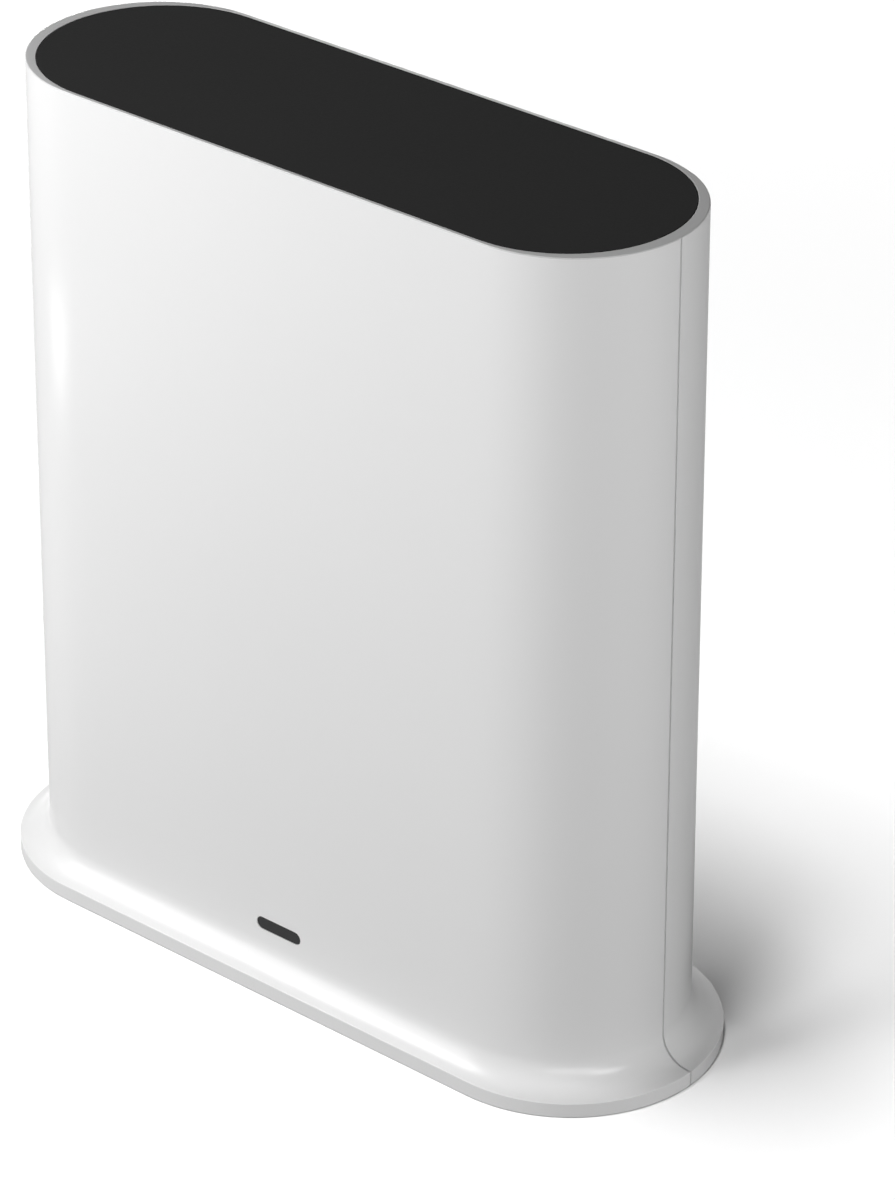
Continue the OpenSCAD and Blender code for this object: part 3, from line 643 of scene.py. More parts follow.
@dataclass(frozen=True)
class Station:
    """A place on the body's outline: a foot on the middle line and the outward direction there."""

    foot: float
    nx: float
    ny: float

    def at(self, radius: float, z: float) -> Vector:
        """Point at a distance from the middle line and a height, in mm."""
        return Vector((self.foot + radius * self.nx, radius * self.ny, z))

    def reach(self, half: float, radius: float) -> float:
        """Distance in mm from the foot to a stadium of that half length and radius.

        Args:
            half: Half of the stadium's straight length.
            radius: Its end radius.

        Returns:
            The distance along the outward direction.
        """
        if abs(self.nx) < TINY:
            return radius
        flat = radius / max(abs(self.ny), TINY)
        if abs(self.foot + flat * self.nx) <= half:
            return flat
        shift = abs(self.foot) - half
        along = shift * abs(self.nx)
        return -along + math.sqrt(along * along - shift * shift + radius * radius)


@dataclass
class Shells:
    """The two halves of the drafted body with their flared skirt."""

    height: float = 169.5
    top_r: float = 23.7
    half: float = 48.4
    draft: float = 0.44
    wall: float = 2.2
    skirt_half: float = 50.7
    skirt_r: float = 29.3
    skirt_wall: float = 1.8
    skirt_z: float = 0.3
    edge_z: float = 3.2
    flare_r: float = 5.7
    ledge_z: float = 2.4
    seam: float = 0.24
    lip: float = 0.25
    drop: float = 1.8
    rim: float = 0.45
    end_steps: int = 22
    flare_steps: int = 12
    wall_rows: int = 7
    support: float = 0.4
    skirt_round: float = 0.75
    foot_round: float = 0.1
    seam_round: float = 0.20
    hole_round: float = 0.16
    bay_round: float = 0.5
    tongue_l: float = 1.8
    tongue_out: float = 1.2
    tongue_in: float = 2.1
    tongue_root: float = 0.6
    tongue_gap: float = 0.2
    run_places: tuple[float, ...] = (0.98, 0.6, 0.2, -0.2, -0.6, -0.98)

    def radius(self, z: float) -> float:
        """Half the depth of the drafted body at a height, in mm."""
        return self.top_r + (self.height - z) * math.tan(math.radians(self.draft))

    def stations(self, side: int) -> list[Station]:
        """Places round one half of the outline, from the left seam to the right one.

        Args:
            side: -1 for the front half, 1 for the rear half.

        Returns:
            The stations in order.
        """
        quarter = [QUARTER * i / self.end_steps for i in range(self.end_steps + 1)]
        left = [Station(-self.half, -math.cos(a), side * math.sin(a)) for a in quarter]
        run = [Station(-self.half * place, 0.0, float(side)) for place in self.run_places]
        right = [Station(self.half, math.cos(a), side * math.sin(a)) for a in reversed(quarter)]
        return left + run + right

    def section(self, spot: Station) -> list[Point2]:
        """Closed wall section at a station.

        Args:
            spot: Place on the outline.

        Returns:
            (distance from the middle line, height) pairs in mm.
        """
        flare_z = self.edge_z + self.flare_r
        centre = self.radius(flare_z) + self.flare_r
        reach = spot.reach(self.skirt_half, self.skirt_r)
        inner = spot.reach(self.skirt_half, self.skirt_r - self.skirt_wall)
        start = math.asin(max(0.0, centre - reach) / self.flare_r)
        first = 0.0 if reach > centre else start + (QUARTER - start) / (self.flare_steps + 1)
        points = [(reach, self.skirt_z), (reach, flare_z - self.flare_r * math.cos(start))]
        for i in range(self.flare_steps + 1):
            turn = first + (QUARTER - first) * i / self.flare_steps
            points.append((centre - self.flare_r * math.sin(turn), flare_z - self.flare_r * math.cos(turn)))
        low, high = flare_z + self.support, self.height - self.lip - self.support
        heights = [low + (high - low) * i / self.wall_rows for i in range(self.wall_rows + 1)]
        points += [(self.radius(z), z) for z in heights]
        top, seat = self.height - self.lip, self.height - self.drop
        points += [(self.radius(top), top), (self.radius(top) - self.rim, top)]
        points += [(self.radius(seat) - self.rim, seat), (self.radius(seat) - self.wall, seat)]
        points += [(self.radius(self.ledge_z) - self.wall, self.ledge_z)]
        points += [(inner, self.ledge_z), (inner, self.skirt_z)]
        return points

    def half_shell(self, name: str, side: int) -> bpy.types.Object:
        """One half of the body, closed, with its seam faces just off the middle plane.

        Args:
            name: Name of the object.
            side: -1 for the front half, 1 for the rear half.

        Returns:
            The new object.
        """
        spots = self.stations(side)
        rows = []
        for place, spot in enumerate(spots):
            row = [spot.at(r, z) for r, z in self.section(spot)]
            if place in (0, len(spots) - 1):
                row = [Vector((p.x, side * self.seam, p.z)) for p in row]
            rows.append(row)
        return Draft().sweep(rows).solid(name)

    def tongues(self, grow: float = 0.0) -> list[bpy.types.Object]:
        """Strips inside the wall that close the seam at both ends, or the room for them.

        Args:
            grow: Clearance in mm all round.

        Returns:
            One solid for each end.
        """
        places = (-self.tongue_l - grow, (self.tongue_root - self.tongue_l) / 2, self.tongue_root + grow)
        heights = (self.ledge_z + self.support - grow, self.height - self.drop - self.support + grow)
        solids = []
        for end in (-1, 1):
            sections = []
            for z in heights:
                outer = self.radius(z) - self.tongue_out + grow
                inner = self.radius(z) - self.tongue_in - grow
                walk = [(outer, y) for y in places] + [(inner, y) for y in reversed(places)]
                outline = [(end * (self.half + math.sqrt(r * r - y * y)), y) for r, y in walk]
                sections.append((outline, z))
            solids.append(Draft().loft(sections, Axis.ALONG_Z).solid("tongue"))
        return solids

    def rules(self, *extra: EdgeRule) -> list[EdgeRule]:
        """Roundings of a half shell, with extra ones first.

        Args:
            *extra: Rules that count before the general ones.

        Returns:
            The rules in order.
        """
        foot = self.skirt_z + self.support
        flare = self.edge_z + self.flare_r
        return [
            *extra,
            EdgeRule(self.seam_round, lambda p: abs(p.y) < 2 * self.seam),
            EdgeRule(self.foot_round, lambda p: p.z < foot),
            EdgeRule(self.skirt_round, lambda p: p.z < flare and abs(p.z - self.ledge_z) > self.support),
        ]

    def build(self, window: "StatusWindow", bay: "PortBay") -> None:
        """Makes both halves with the window and the bay cut into them.

        Args:
            window: Status window of the front half.
            bay: Port bay of the rear half.
        """
        front = self.half_shell("front_body", -1)
        carve(front, [window.cutter(self)])
        hole = EdgeRule(self.hole_round, lambda p: window.near(p, self.radius(p.z)))
        soften(front, self.rules(hole))
        carve(front, self.tongues(self.tongue_gap))
        smooth(front)
        deliver(front, WHITE_SHELL, ["front_shell"])
        rear = self.half_shell("rear_body", 1)
        carve(rear, [bay.tub(self)], Cut.JOIN)
        carve(rear, [bay.cutter(self)])
        mouth = EdgeRule(self.bay_round, lambda p: bay.near(p) and p.y > self.radius(p.z) - self.support)
        soften(rear, self.rules(mouth))
        carve(rear, self.tongues(), Cut.JOIN)
        smooth(rear)
        deliver(rear, WHITE_SHELL, ["rear_shell"])


@dataclass
class StatusWindow:
    """The smoked pill low on the front and what lights it."""

    margin: float = 0.02
    mouth: float = 0.2
    edge: float = 0.18
    reach: float = 4.0
    rim: float = 0.8
    rim_depth: float = 1.0
    end_steps: int = 20

    def __post_init__(self) -> None:
        """Reads the lens from the frame."""
        low, high = span("led_lens")
        self.centre = middle("led_lens")
        self.face = low.y
        self.back = high.y
        self.length = high.x - low.x - 2 * self.rim
        self.height = high.z - low.z - 2 * self.rim

    def outline(self, grow: float = 0.0) -> Outline:
        """Pill of the window at its place on the front.

        Args:
            grow: What is added on all sides, in mm.

        Returns:
            The points, counter-clockwise.
        """
        radius = self.height / 2 + grow
        half = (self.length - self.height) / 2
        return moved(stadium_outline(half, radius, self.end_steps, FEW_STEPS), self.centre.x, self.centre.z)

    def cutter(self, shells: Shells) -> bpy.types.Object:
        """Solid that opens the front wall for the lens.

        Args:
            shells: The body whose wall it opens.

        Returns:
            The new object.
        """
        outer = -shells.radius(0.0)
        ends = (outer - self.reach, outer + self.reach + shells.wall)
        return prism("window_cut", self.outline(self.margin), *ends, Axis.ALONG_Y)

    def near(self, p: Vector, wall: float) -> bool:
        """True for points of the window's outer rim."""
        inside = abs(p.x - self.centre.x) < self.length and abs(p.z - self.centre.z) < self.height
        return inside and p.y < -wall + self.mouth

    def build(self) -> None:
        """Makes the lens and dresses the light behind it."""
        seat = self.back - self.rim_depth
        pill, flange = self.outline(), self.outline(self.rim)
        sections = [(pill, self.face), (pill, seat), (flange, seat), (flange, self.back)]
        lens = Draft().loft(sections, Axis.ALONG_Y).solid("status_lens")
        soften(lens, [EdgeRule(self.edge, lambda p: p.y < self.face + self.edge)])
        deliver(lens, LENS_SMOKE, ["led_lens"])
        dress("light_pipe", PIPE_CLEAR)
        dress("status_led", LED_PACKAGE)


@dataclass
class TopPanel:
    """The grey bezel and the matt panel that is set into it."""

    bezel_open: float = 19.8
    bezel_skirt: float = 21.4
    bezel_low: float = 160.5
    seat_r: float = 23.15
    cap_half: float = 46.8
    cap_r: float = 22.84
    cap_t: float = 0.6
    core_t: float = 1.4
    gap: float = 0.1
    edge: float = 0.1
    crown: float = 0.22

    def build(self, shells: Shells) -> None:
        """Makes the bezel and the panel.

        Args:
            shells: The body that they close.
        """
        top, half = shells.height, shells.half
        rest, seat = top - shells.lip, top - shells.drop
        recess = stadium_outline(self.cap_half, self.cap_r + self.gap)
        opening = stadium_outline(half, self.bezel_open)
        skirt = stadium_outline(half, self.bezel_skirt)
        inner = stadium_outline(half, self.seat_r)
        outer = stadium_outline(half, shells.top_r)
        bezel = Draft().loft(
            [(outer, rest), (outer, top), (recess, top), (recess, top - self.cap_t),
             (opening, top - self.cap_t), (opening, self.bezel_low), (skirt, self.bezel_low),
             (skirt, seat), (inner, seat), (inner, rest)], Axis.ALONG_Z, hollow=True).solid("bezel_ring")
        brim = (self.cap_r + shells.top_r) / 2
        soften(bezel, [
            EdgeRule(self.crown, lambda p: p.z > top - self.edge and self.off_line(p, half) > brim),
            EdgeRule(self.edge, lambda p: p.z > top - self.edge),
        ])
        deliver(bezel, BEZEL_GREY, ["top_bezel"])
        self.panel(top, half)

    def off_line(self, p: Vector, half: float) -> float:
        """Distance in mm of a point from the body's middle line in plan, which has that half length."""
        return math.hypot(max(abs(p.x) - half, 0.0), p.y)

    def panel(self, top: float, half: float) -> None:
        """Makes the inset panel with its core.

        Args:
            top: Height of the top face in mm.
            half: Half of the body's straight length in mm.
        """
        face = stadium_outline(self.cap_half, self.cap_r)
        core = stadium_outline(half, self.bezel_open - self.gap)
        under = top - self.cap_t
        cap = Draft().loft([(face, top), (face, under), (core, under), (core, under - self.core_t)],
                           Axis.ALONG_Z).solid("cap_panel")
        soften(cap, [EdgeRule(self.edge, lambda p: p.z > top - self.edge)])
        deliver(cap, CAP_BLACK, ["top_cap"])


@dataclass
class Base:
    """The plate under the skirt with its feet and screws."""

    edge_r: float = 27.4
    vent_count: int = 9
    vent_pitch: float = 8.0
    vent_w: float = 2.2
    vent_l: float = 18.0
    foot_sink: float = 0.9
    head_r: float = 2.75
    head_t: float = 1.3
    shank_r: float = 1.5
    drive_r: float = 1.65
    drive_w: float = 0.6
    drive_d: float = 0.8
    head_edge: float = 0.05
    tip_r: float = 0.1
    screw_steps: int = 32
    pad_edge: float = 0.3
    pad_groove: float = 0.1
    pad_ring: float = 0.2
    pad_rings: tuple[float, ...] = (0.62, 0.34)
    pad_sharp: float = 50.0
    gap: float = 0.1
    edge: float = 0.25
    feet: tuple[str, ...] = ("rubber_foot_1", "rubber_foot_2", "rubber_foot_3", "rubber_foot_4")

    def screw_places(self) -> list[Vector]:
        """Middles of the four base screws.

        Returns:
            The places of their heads, in mm.
        """
        low, high = span("base_screws")
        xs = (low.x + self.head_r, high.x - self.head_r)
        ys = (low.y + self.head_r, high.y - self.head_r)
        return [Vector((x, y, low.z)) for x in xs for y in ys]

    def build(self, shells: Shells, repeater: Repeater) -> None:
        """Makes the plate, the feet and the screws.

        Args:
            shells: The body that the plate closes.
            repeater: Tree that sets the feet and the screws.
        """
        self.plate(shells.skirt_half)
        self.pads(repeater)
        self.screws(repeater)

    def plate(self, half: float) -> None:
        """Makes the plate with its air slots, pockets and screw holes.

        Args:
            half: Half of the skirt's straight length in mm.
        """
        low, high = span("base_plate")
        outline = stadium_outline(half, self.edge_r)
        plate = prism("underside_plate", outline, low.z, high.z, Axis.ALONG_Z)
        tools = []
        slot = rect_outline(self.vent_w, self.vent_l, self.gap, FEW_STEPS)
        deep = high.z + self.vent_w
        for i in range(self.vent_count):
            x = (i - (self.vent_count - 1) / 2) * self.vent_pitch
            tools.append(prism("vent_cut", moved(slot, x, 0.0), 0.0, deep, Axis.ALONG_Z))
        for node in self.feet:
            foot_low, foot_high = span(node)
            spot = middle(node)
            radius = (foot_high.x - foot_low.x) / 2 + self.gap
            tools.append(Draft().turn([(radius, 0.0), (radius, low.z + self.foot_sink)], (spot.x, spot.y),
                                      Axis.ALONG_Z).solid("pocket_cut"))
        for spot in self.screw_places():
            wide, narrow = self.head_r + self.gap, self.shank_r + self.gap
            profile = [(wide, 0.0), (wide, low.z), (narrow, low.z + self.head_t), (narrow, deep)]
            tools.append(Draft().turn(profile, (spot.x, spot.y), Axis.ALONG_Z).solid("screw_cut"))
        carve(plate, tools)
        soften(plate, [EdgeRule(self.edge, lambda p: p.z < low.z + self.edge)], FEW_STEPS)
        deliver(plate, BASE_GREY, ["base_plate"])

    def pads(self, repeater: Repeater) -> None:
        """Makes the feet with a rounded rim and two moulded rings.

        Args:
            repeater: Tree that sets them.
        """
        low, high = span(self.feet[0])
        radius, groove = (high.x - low.x) / 2, self.pad_groove
        profile = [(radius, high.z), (radius, self.pad_edge), (radius - groove, groove),
                   (radius - self.pad_edge, 0.0)]
        for share in self.pad_rings:
            ring = radius * share
            profile += [(ring + self.pad_ring, 0.0), (ring + groove, groove), (ring - groove, groove),
                        (ring - self.pad_ring, 0.0)]
        pad = Draft().turn(profile, (0.0, 0.0), Axis.ALONG_Z).solid("pad_prototype")
        smooth(pad, self.pad_sharp)
        places = [Vector((middle(n).x, middle(n).y, 0.0)) for n in self.feet]
        pads = repeater.scatter("rubber_feet", pad, places, FOOT_RUBBER, turn=(0.0, 0.0, math.tau))
        deliver(pads, FOOT_RUBBER, list(self.feet))

    def screws(self, repeater: Repeater) -> None:
        """Makes the countersunk screws with a cross recess.

        Args:
            repeater: Tree that sets them.
        """
        low, high = span("base_screws")
        length = high.z - low.z
        profile = [(self.head_r - self.gap, 0.0), (self.head_r, self.head_edge), (self.shank_r, self.head_t),
                   (self.shank_r, length - self.shank_r), (self.tip_r, length)]
        screw = Draft().turn(profile, (0.0, 0.0), Axis.ALONG_Z, self.screw_steps).solid("screw_prototype")
        wide = rect_outline(2 * self.drive_r, self.drive_w, self.gap, FEW_STEPS)
        tall = [(v, u) for u, v in wide]
        carve(screw, [prism("drive_cut", shape, -self.drive_w, self.drive_d, Axis.ALONG_Z)
                      for shape in (wide, tall)])
        smooth(screw)
        places = self.screw_places()
        screws = repeater.scatter("plate_screws", screw, places, SCREW_STEEL, turn=(0.0, 0.0, math.tau))
        deliver(screws, SCREW_STEEL, ["base_screws"])


@dataclass
class PortBay:
    """The recess low on the rear, its panel and the sockets in it."""

    width: float = 76.0
    height: float = 24.5
    corner: float = 3.0
    wall: float = 1.8
    over: float = 6.0
    gap: float = 0.25
    slide: float = 0.08
    edge: float = 0.2
    plug_w: float = 11.9
    plug_h: float = 7.0
    plug_depth: float = 11.2
    latch_w: float = 6.6
    latch_h: float = 2.4
    jack_sheet: float = 0.25
    contact_pitch: float = 1.27
    contact_count: int = 8
    usb_sheet: float = 0.35
    usb_block: float = 3.4
    usb_tongue_w: float = 11.2
    usb_tongue_t: float = 1.85
    usb_pitch: float = 2.4
    usb_count: int = 4
    mouth_share: float = 0.4
    blade_round: float = 0.2
    tip_share: float = 0.7
    tip_round: float = 0.1
    tip_taper: float = 1 / 3
    nose_r: float = 4.3
    nose: float = 2.6
    bore_r: float = 3.15
    bore: float = 9.5
    pin_r: float = 1.0
    pin_root: float = 2.0
    pin_tip: float = 0.8
    pin_turn: float = 85.0
    pin_tip_steps: int = 6
    pin_steps: int = 32
    button_flange: float = 1.0
    button_flange_t: float = 1.2
    button_stem: float = 1.5
    button_gap: float = 0.03
    button_crown: float = 0.4
    button_dish: float = 0.25
    button_face_steps: int = 6
    pinhole_r: float = 0.9
    shank_r: float = 1.15
    shank_steps: int = 24
    round_steps: int = 64

    def __post_init__(self) -> None:
        """Reads the panel's place from the frame."""
        low, high = span("port_panel")
        self.z = middle("port_panel").z
        self.face = high.y
        self.back = low.y

    def outline(self, grow: float = 0.0) -> Outline:
        """Rounded mouth of the bay, grown on all sides."""
        flat = rect_outline(self.width + 2 * grow, self.height + 2 * grow, self.corner + grow)
        return moved(flat, 0.0, self.z)

    def tub(self, shells: Shells) -> bpy.types.Object:
        """Solid block behind the rear wall that the bay is cut from."""
        inner = shells.radius(self.z) - shells.wall / 2
        return prism("bay_block", self.outline(self.wall), self.face, inner, Axis.ALONG_Y)

    def cutter(self, shells: Shells) -> bpy.types.Object:
        """Solid that opens the bay from the rear wall to the panel."""
        far = shells.radius(0.0) + self.over
        return prism("bay_cut", self.outline(), self.back, far, Axis.ALONG_Y)

    def near(self, p: Vector) -> bool:
        """True for points at the bay's mouth."""
        return abs(p.x) < self.width / 2 + self.wall and abs(p.z - self.z) < self.height / 2 + self.wall

    def build(self, repeater: Repeater) -> None:
        """Makes the panel and everything that is in it.

        Args:
            repeater: Tree that sets the contacts.
        """
        self.panel()
        self.network_socket(repeater)
        self.usb_socket(repeater)
        self.power_inlet()
        self.button()
        dress("panel_screws", SCREW_STEEL)
        dress("reset_switch", HOUSING_BLACK)
        dress("reset_plunger", PLUNGER_IVORY)
        dress("sync_switch", HOUSING_BLACK)
        dress("sync_plunger", PLUNGER_IVORY)

    def tool(self, outline: Outline, low: float, high: float) -> bpy.types.Object:
        """Straight helper solid along Y between two places in mm."""
        return prism("bay_tool", outline, low, high, Axis.ALONG_Y)

    def hole_for(self, node: str, margin: float) -> Outline:
        """Rectangle round a CAD node seen along Y.

        Args:
            node: Name of the CAD node.
            margin: What is added on all sides, in mm.

        Returns:
            The points at the node's place.
        """
        low, high = span(node)
        spot = middle(node)
        flat = rect_outline(high.x - low.x + 2 * margin, high.z - low.z + 2 * margin, self.gap)
        return moved(flat, spot.x, spot.z)

    def panel(self) -> None:
        """Makes the panel with its cut-outs."""
        low, high = span("port_panel")
        plate = rect_outline(high.x - low.x, high.z - low.z, self.corner)
        panel = prism("socket_panel", moved(plate, 0.0, self.z), low.y, high.y, Axis.ALONG_Y)
        ends = (low.y - self.over, high.y + self.over)
        spots = {"dc_jack_body": self.nose_r + self.gap, "sync_button": self.button_radius() + self.slide,
                 "reset_plunger": self.pinhole_r}
        tools = [self.tool(self.hole_for(node, self.gap), *ends) for node in ("ethernet_shield", "usb_shell")]
        for node, radius in spots.items():
            tools.append(self.tool(moved(round_outline(radius), middle(node).x, self.z), *ends))
        screw_low, screw_high = span("panel_screws")
        for x in (screw_low.x + self.head(), screw_high.x - self.head()):
            tools.append(self.tool(moved(round_outline(self.shank_r, self.shank_steps), x, self.z), *ends))
        carve(panel, tools)
        soften(panel, [EdgeRule(self.edge, lambda p: p.y > high.y - self.edge)])
        deliver(panel, PANEL_BLACK, ["port_panel"])

    def head(self) -> float:
        """Head radius of the panel's screws in mm."""
        low, high = span("panel_screws")
        return (high.z - low.z) / 2

    def button_radius(self) -> float:
        """Radius of the pairing button in front of its flange, in mm."""
        low, high = span("sync_button")
        return (high.x - low.x) / 2 - self.button_flange

    def tube(self, name: str, node: str, sheet: float) -> bpy.types.Object:
        """Sheet-metal sleeve in place of a CAD node, with a rounded mouth.

        Args:
            name: Name of the object.
            node: CAD node that gives the box.
            sheet: Thickness in mm.

        Returns:
            The new object.
        """
        low, high = span(node)
        outer, inner = self.hole_for(node, 0.0), self.hole_for(node, -sheet)
        sections = [(outer, low.y), (outer, high.y), (inner, high.y), (inner, low.y)]
        sleeve = Draft().loft(sections, Axis.ALONG_Y, hollow=True).solid(name)
        lip = EdgeRule(sheet * self.mouth_share, lambda p: p.y > high.y - sheet)
        soften(sleeve, [lip], FEW_STEPS)
        return sleeve

    def network_socket(self, repeater: Repeater) -> None:
        """Makes the shielded network socket with its contacts.

        Args:
            repeater: Tree that sets the contacts.
        """
        shield = self.tube("jack_shield", "ethernet_shield", self.jack_sheet)
        deliver(shield, SHIELD_TIN, ["ethernet_shield"])
        low, high = span("ethernet_housing")
        spot = middle("ethernet_housing")
        housing = prism("jack_housing", self.hole_for("ethernet_housing", 0.0), low.y, high.y, Axis.ALONG_Y)
        plug_top = span("ethernet_contacts")[0].z
        plug_mid = plug_top - self.plug_h / 2
        latch_mid = plug_top - self.plug_h - self.latch_h / 2 + self.edge
        plug = rect_outline(self.plug_w, self.plug_h, self.edge, FEW_STEPS)
        latch = rect_outline(self.latch_w, self.latch_h + 2 * self.edge, self.edge, FEW_STEPS)
        ends = (high.y + self.gap - self.plug_depth, high.y + self.over)
        carve(housing, [self.tool(moved(plug, spot.x, plug_mid), *ends),
                        self.tool(moved(latch, spot.x, latch_mid), *ends)])
        soften(housing, [EdgeRule(self.edge, lambda p: p.y > high.y - self.edge)])
        deliver(housing, HOUSING_BLACK, ["ethernet_housing"])
        self.contacts(repeater, "jack_contacts", "ethernet_contacts", self.contact_count, self.contact_pitch)
        dress("ethernet_transformer", HOUSING_BLACK)

    def contacts(self, repeater: Repeater, name: str, node: str, count: int, pitch: float) -> None:
        """Row of contact blades with rounded tips in place of a CAD node.

        Args:
            repeater: Tree that sets them.
            name: Name of the object.
            node: CAD node that gives the box.
            count: Number of blades.
            pitch: Distance between neighbours in mm.
        """
        low, high = span(node)
        spot = middle(node)
        width = high.x - low.x - (count - 1) * pitch
        thick, end = high.z - low.z, (high.y - low.y) / 2
        least, taper = min(width, thick), thick * self.tip_taper
        bar = rect_outline(width, thick, least * self.blade_round, FEW_STEPS)
        tip = rect_outline(width * self.tip_share, thick * self.tip_share, least * self.tip_round, FEW_STEPS)
        sections = [(tip, -end), (bar, taper - end), (bar, end - taper), (tip, end)]
        blade = Draft().loft(sections, Axis.ALONG_Y).solid("blade_prototype")
        smooth(blade)
        places = [Vector((spot.x + (i - (count - 1) / 2) * pitch, spot.y, spot.z)) for i in range(count)]
        row = repeater.scatter(name, blade, places, CONTACT_GOLD)
        deliver(row, CONTACT_GOLD, [node])

    def usb_socket(self, repeater: Repeater) -> None:
        """Makes the USB socket with its tongue and contacts.

        Args:
            repeater: Tree that sets the contacts.
        """
        shell = self.tube("usb_sleeve", "usb_shell", self.usb_sheet)
        deliver(shell, SHIELD_TIN, ["usb_shell"])
        low, high = span("usb_insulator")
        spot = middle("usb_insulator")
        root = low.y + self.usb_block
        place = (spot.x, span("usb_contacts")[1].z + self.usb_tongue_t / 2)
        bar = moved(rect_outline(self.usb_tongue_w, self.usb_tongue_t, self.edge), *place)
        tip = rect_outline(self.usb_tongue_w - self.edge, self.usb_tongue_t - self.edge * 2, self.edge)
        body = prism("usb_core", self.hole_for("usb_insulator", 0.0), low.y, root, Axis.ALONG_Y)
        sections = [(bar, root - self.edge), (bar, high.y - self.edge), (moved(tip, *place), high.y)]
        carve(body, [Draft().loft(sections, Axis.ALONG_Y).solid("tongue_block")], Cut.JOIN)
        smooth(body)
        deliver(body, HOUSING_BLACK, ["usb_insulator"])
        self.contacts(repeater, "usb_blades", "usb_contacts", self.usb_count, self.usb_pitch)

    def power_inlet(self) -> None:
        """Makes the power inlet with its bore, pin and spring."""
        low, high = span("dc_jack_body")
        spot = middle("dc_jack_body")
        centre = (spot.x, self.z)
        step = high.y - self.nose
        block = prism("inlet_body", self.hole_for("dc_jack_body", 0.0), low.y, step, Axis.ALONG_Y)
        nose = moved(round_outline(self.nose_r, self.round_steps), *centre)
        carve(block, [self.tool(nose, step - self.edge, high.y)], Cut.JOIN)
        bore = moved(round_outline(self.bore_r, self.round_steps), *centre)
        carve(block, [self.tool(bore, high.y - self.bore, high.y + self.over)])
        soften(block, [EdgeRule(self.edge, lambda p: p.y > high.y - self.edge)])
        deliver(block, HOUSING_BLACK, ["dc_jack_body"])
        self.pin(centre)
        dress("dc_jack_spring", CONTACT_GOLD)

    def pin(self, centre: Point2) -> None:
        """Makes the centre pin with a rounded tip.

        Args:
            centre: Place of its axis seen along Y, in mm.
        """
        low, high = span("dc_jack_pin")
        root, step = (high.x - low.x) / 2, low.y + self.pin_root
        dome = self.pin_r * self.pin_tip
        profile = [(root, low.y), (root, step), (self.pin_r, step)]
        for i in range(self.pin_tip_steps + 1):
            turn = math.radians(self.pin_turn) * i / self.pin_tip_steps
            profile.append((self.pin_r * math.cos(turn), high.y - dome + dome * math.sin(turn)))
        pin = Draft().turn(profile, centre, Axis.ALONG_Y, self.pin_steps).solid("inlet_pin")
        smooth(pin)
        deliver(pin, SHIELD_TIN, ["dc_jack_pin"])

    def button(self) -> None:
        """Makes the pairing button with a dished face, its flange and its stem."""
        low, high = span("sync_button")
        spot = middle("sync_button")
        radius, flange_r = self.button_radius(), (high.x - low.x) / 2
        seat = self.back - self.button_gap
        under = seat - self.button_flange_t
        profile = [(self.button_stem, low.y), (self.button_stem, under), (flange_r, under), (flange_r, seat),
                   (radius, seat)]
        crown, steps = self.button_crown, self.button_face_steps
        for i in range(steps + 1):
            turn = QUARTER * i / steps
            profile.append((radius - crown + crown * math.cos(turn), high.y - crown + crown * math.sin(turn)))
        for i in range(1, steps):
            share = 1 - i / steps
            profile.append(((radius - crown) * share, high.y - self.button_dish * (1 - share * share)))
        turned = Draft().turn(profile, (spot.x, spot.z), Axis.ALONG_Y, self.round_steps)
        button = turned.solid("pairing_button")
        smooth(button)
        deliver(button, BUTTON_GREY, ["sync_button"], body="sync_button")


@dataclass
class BoardParts:
    """The circuit board and what stands on it, inside the body."""

    finishes: dict[str, Finish] = field(default_factory=lambda: {
        "main_board": BOARD_GREEN, "board_screws": SCREW_STEEL, "processor": CHIP_BLACK,
        "thermal_pad": PAD_GREY, "heat_sink": SINK_ALUMINIUM, "heat_sink_screws": SCREW_STEEL,
        "memory_chip_1": CHIP_BLACK, "memory_chip_2": CHIP_BLACK, "flash_chip": CHIP_BLACK,
        "radio_shield_1": SHIELD_TIN, "radio_shield_2": SHIELD_TIN, "radio_chip_1": CHIP_BLACK,
        "radio_chip_2": CHIP_BLACK, "antenna_1": CONTACT_GOLD, "antenna_2": CONTACT_GOLD,
        "antenna_3": CONTACT_GOLD, "inductor_1": COIL_GREY, "inductor_2": COIL_GREY,
        "capacitor_1": CAN_ALUMINIUM, "capacitor_2": CAN_ALUMINIUM, "capacitor_3": CAN_ALUMINIUM,
    })

    def build(self) -> None:
        """Dresses the board and its parts."""
        for node, finish in self.finishes.items():
            dress(node, finish)


@dataclass(frozen=True)
class Lamp:
    """A soft rectangular lamp that faces a point, in metres and watts."""

    name: str
    place: Point3
    size: Point2
    power: float
    reach: Reach = Reach.OBJECT
    aim: Point3 = (0.0, 0.0, 0.085)

    def build(self, floor: bpy.types.Object) -> None:
        """Adds the lamp to the scene.

        Args:
            floor: The floor, which takes the light of the floor lamps alone.
        """
        light = bpy.data.lights.new(self.name, "AREA")
        light.shape = "RECTANGLE"
        light.size, light.size_y = self.size
        light.energy = self.power
        item = linked(self.name, light)
        item.visible_camera = False
        takers = bpy.data.collections.new(self.name + "_takers")
        takers.objects.link(floor)
        takers.collection_objects[0].light_linking.link_state = self.reach.value
        item.light_linking.receiver_collection = takers
        item.location = self.place
        toward = Vector(self.aim) - Vector(self.place)
        item.rotation_euler = toward.to_track_quat("-Z", "Y").to_euler()


def floor_lamp(name: str, x: float, y: float, power: float) -> Lamp:
    """Lamp that lights the floor alone, from straight above a place on it."""
    return Lamp(name, (x, y, FLOOR_LAMP_Z), FLOOR_LAMP_SIZE, power, Reach.FLOOR, (x, y, 0.0))


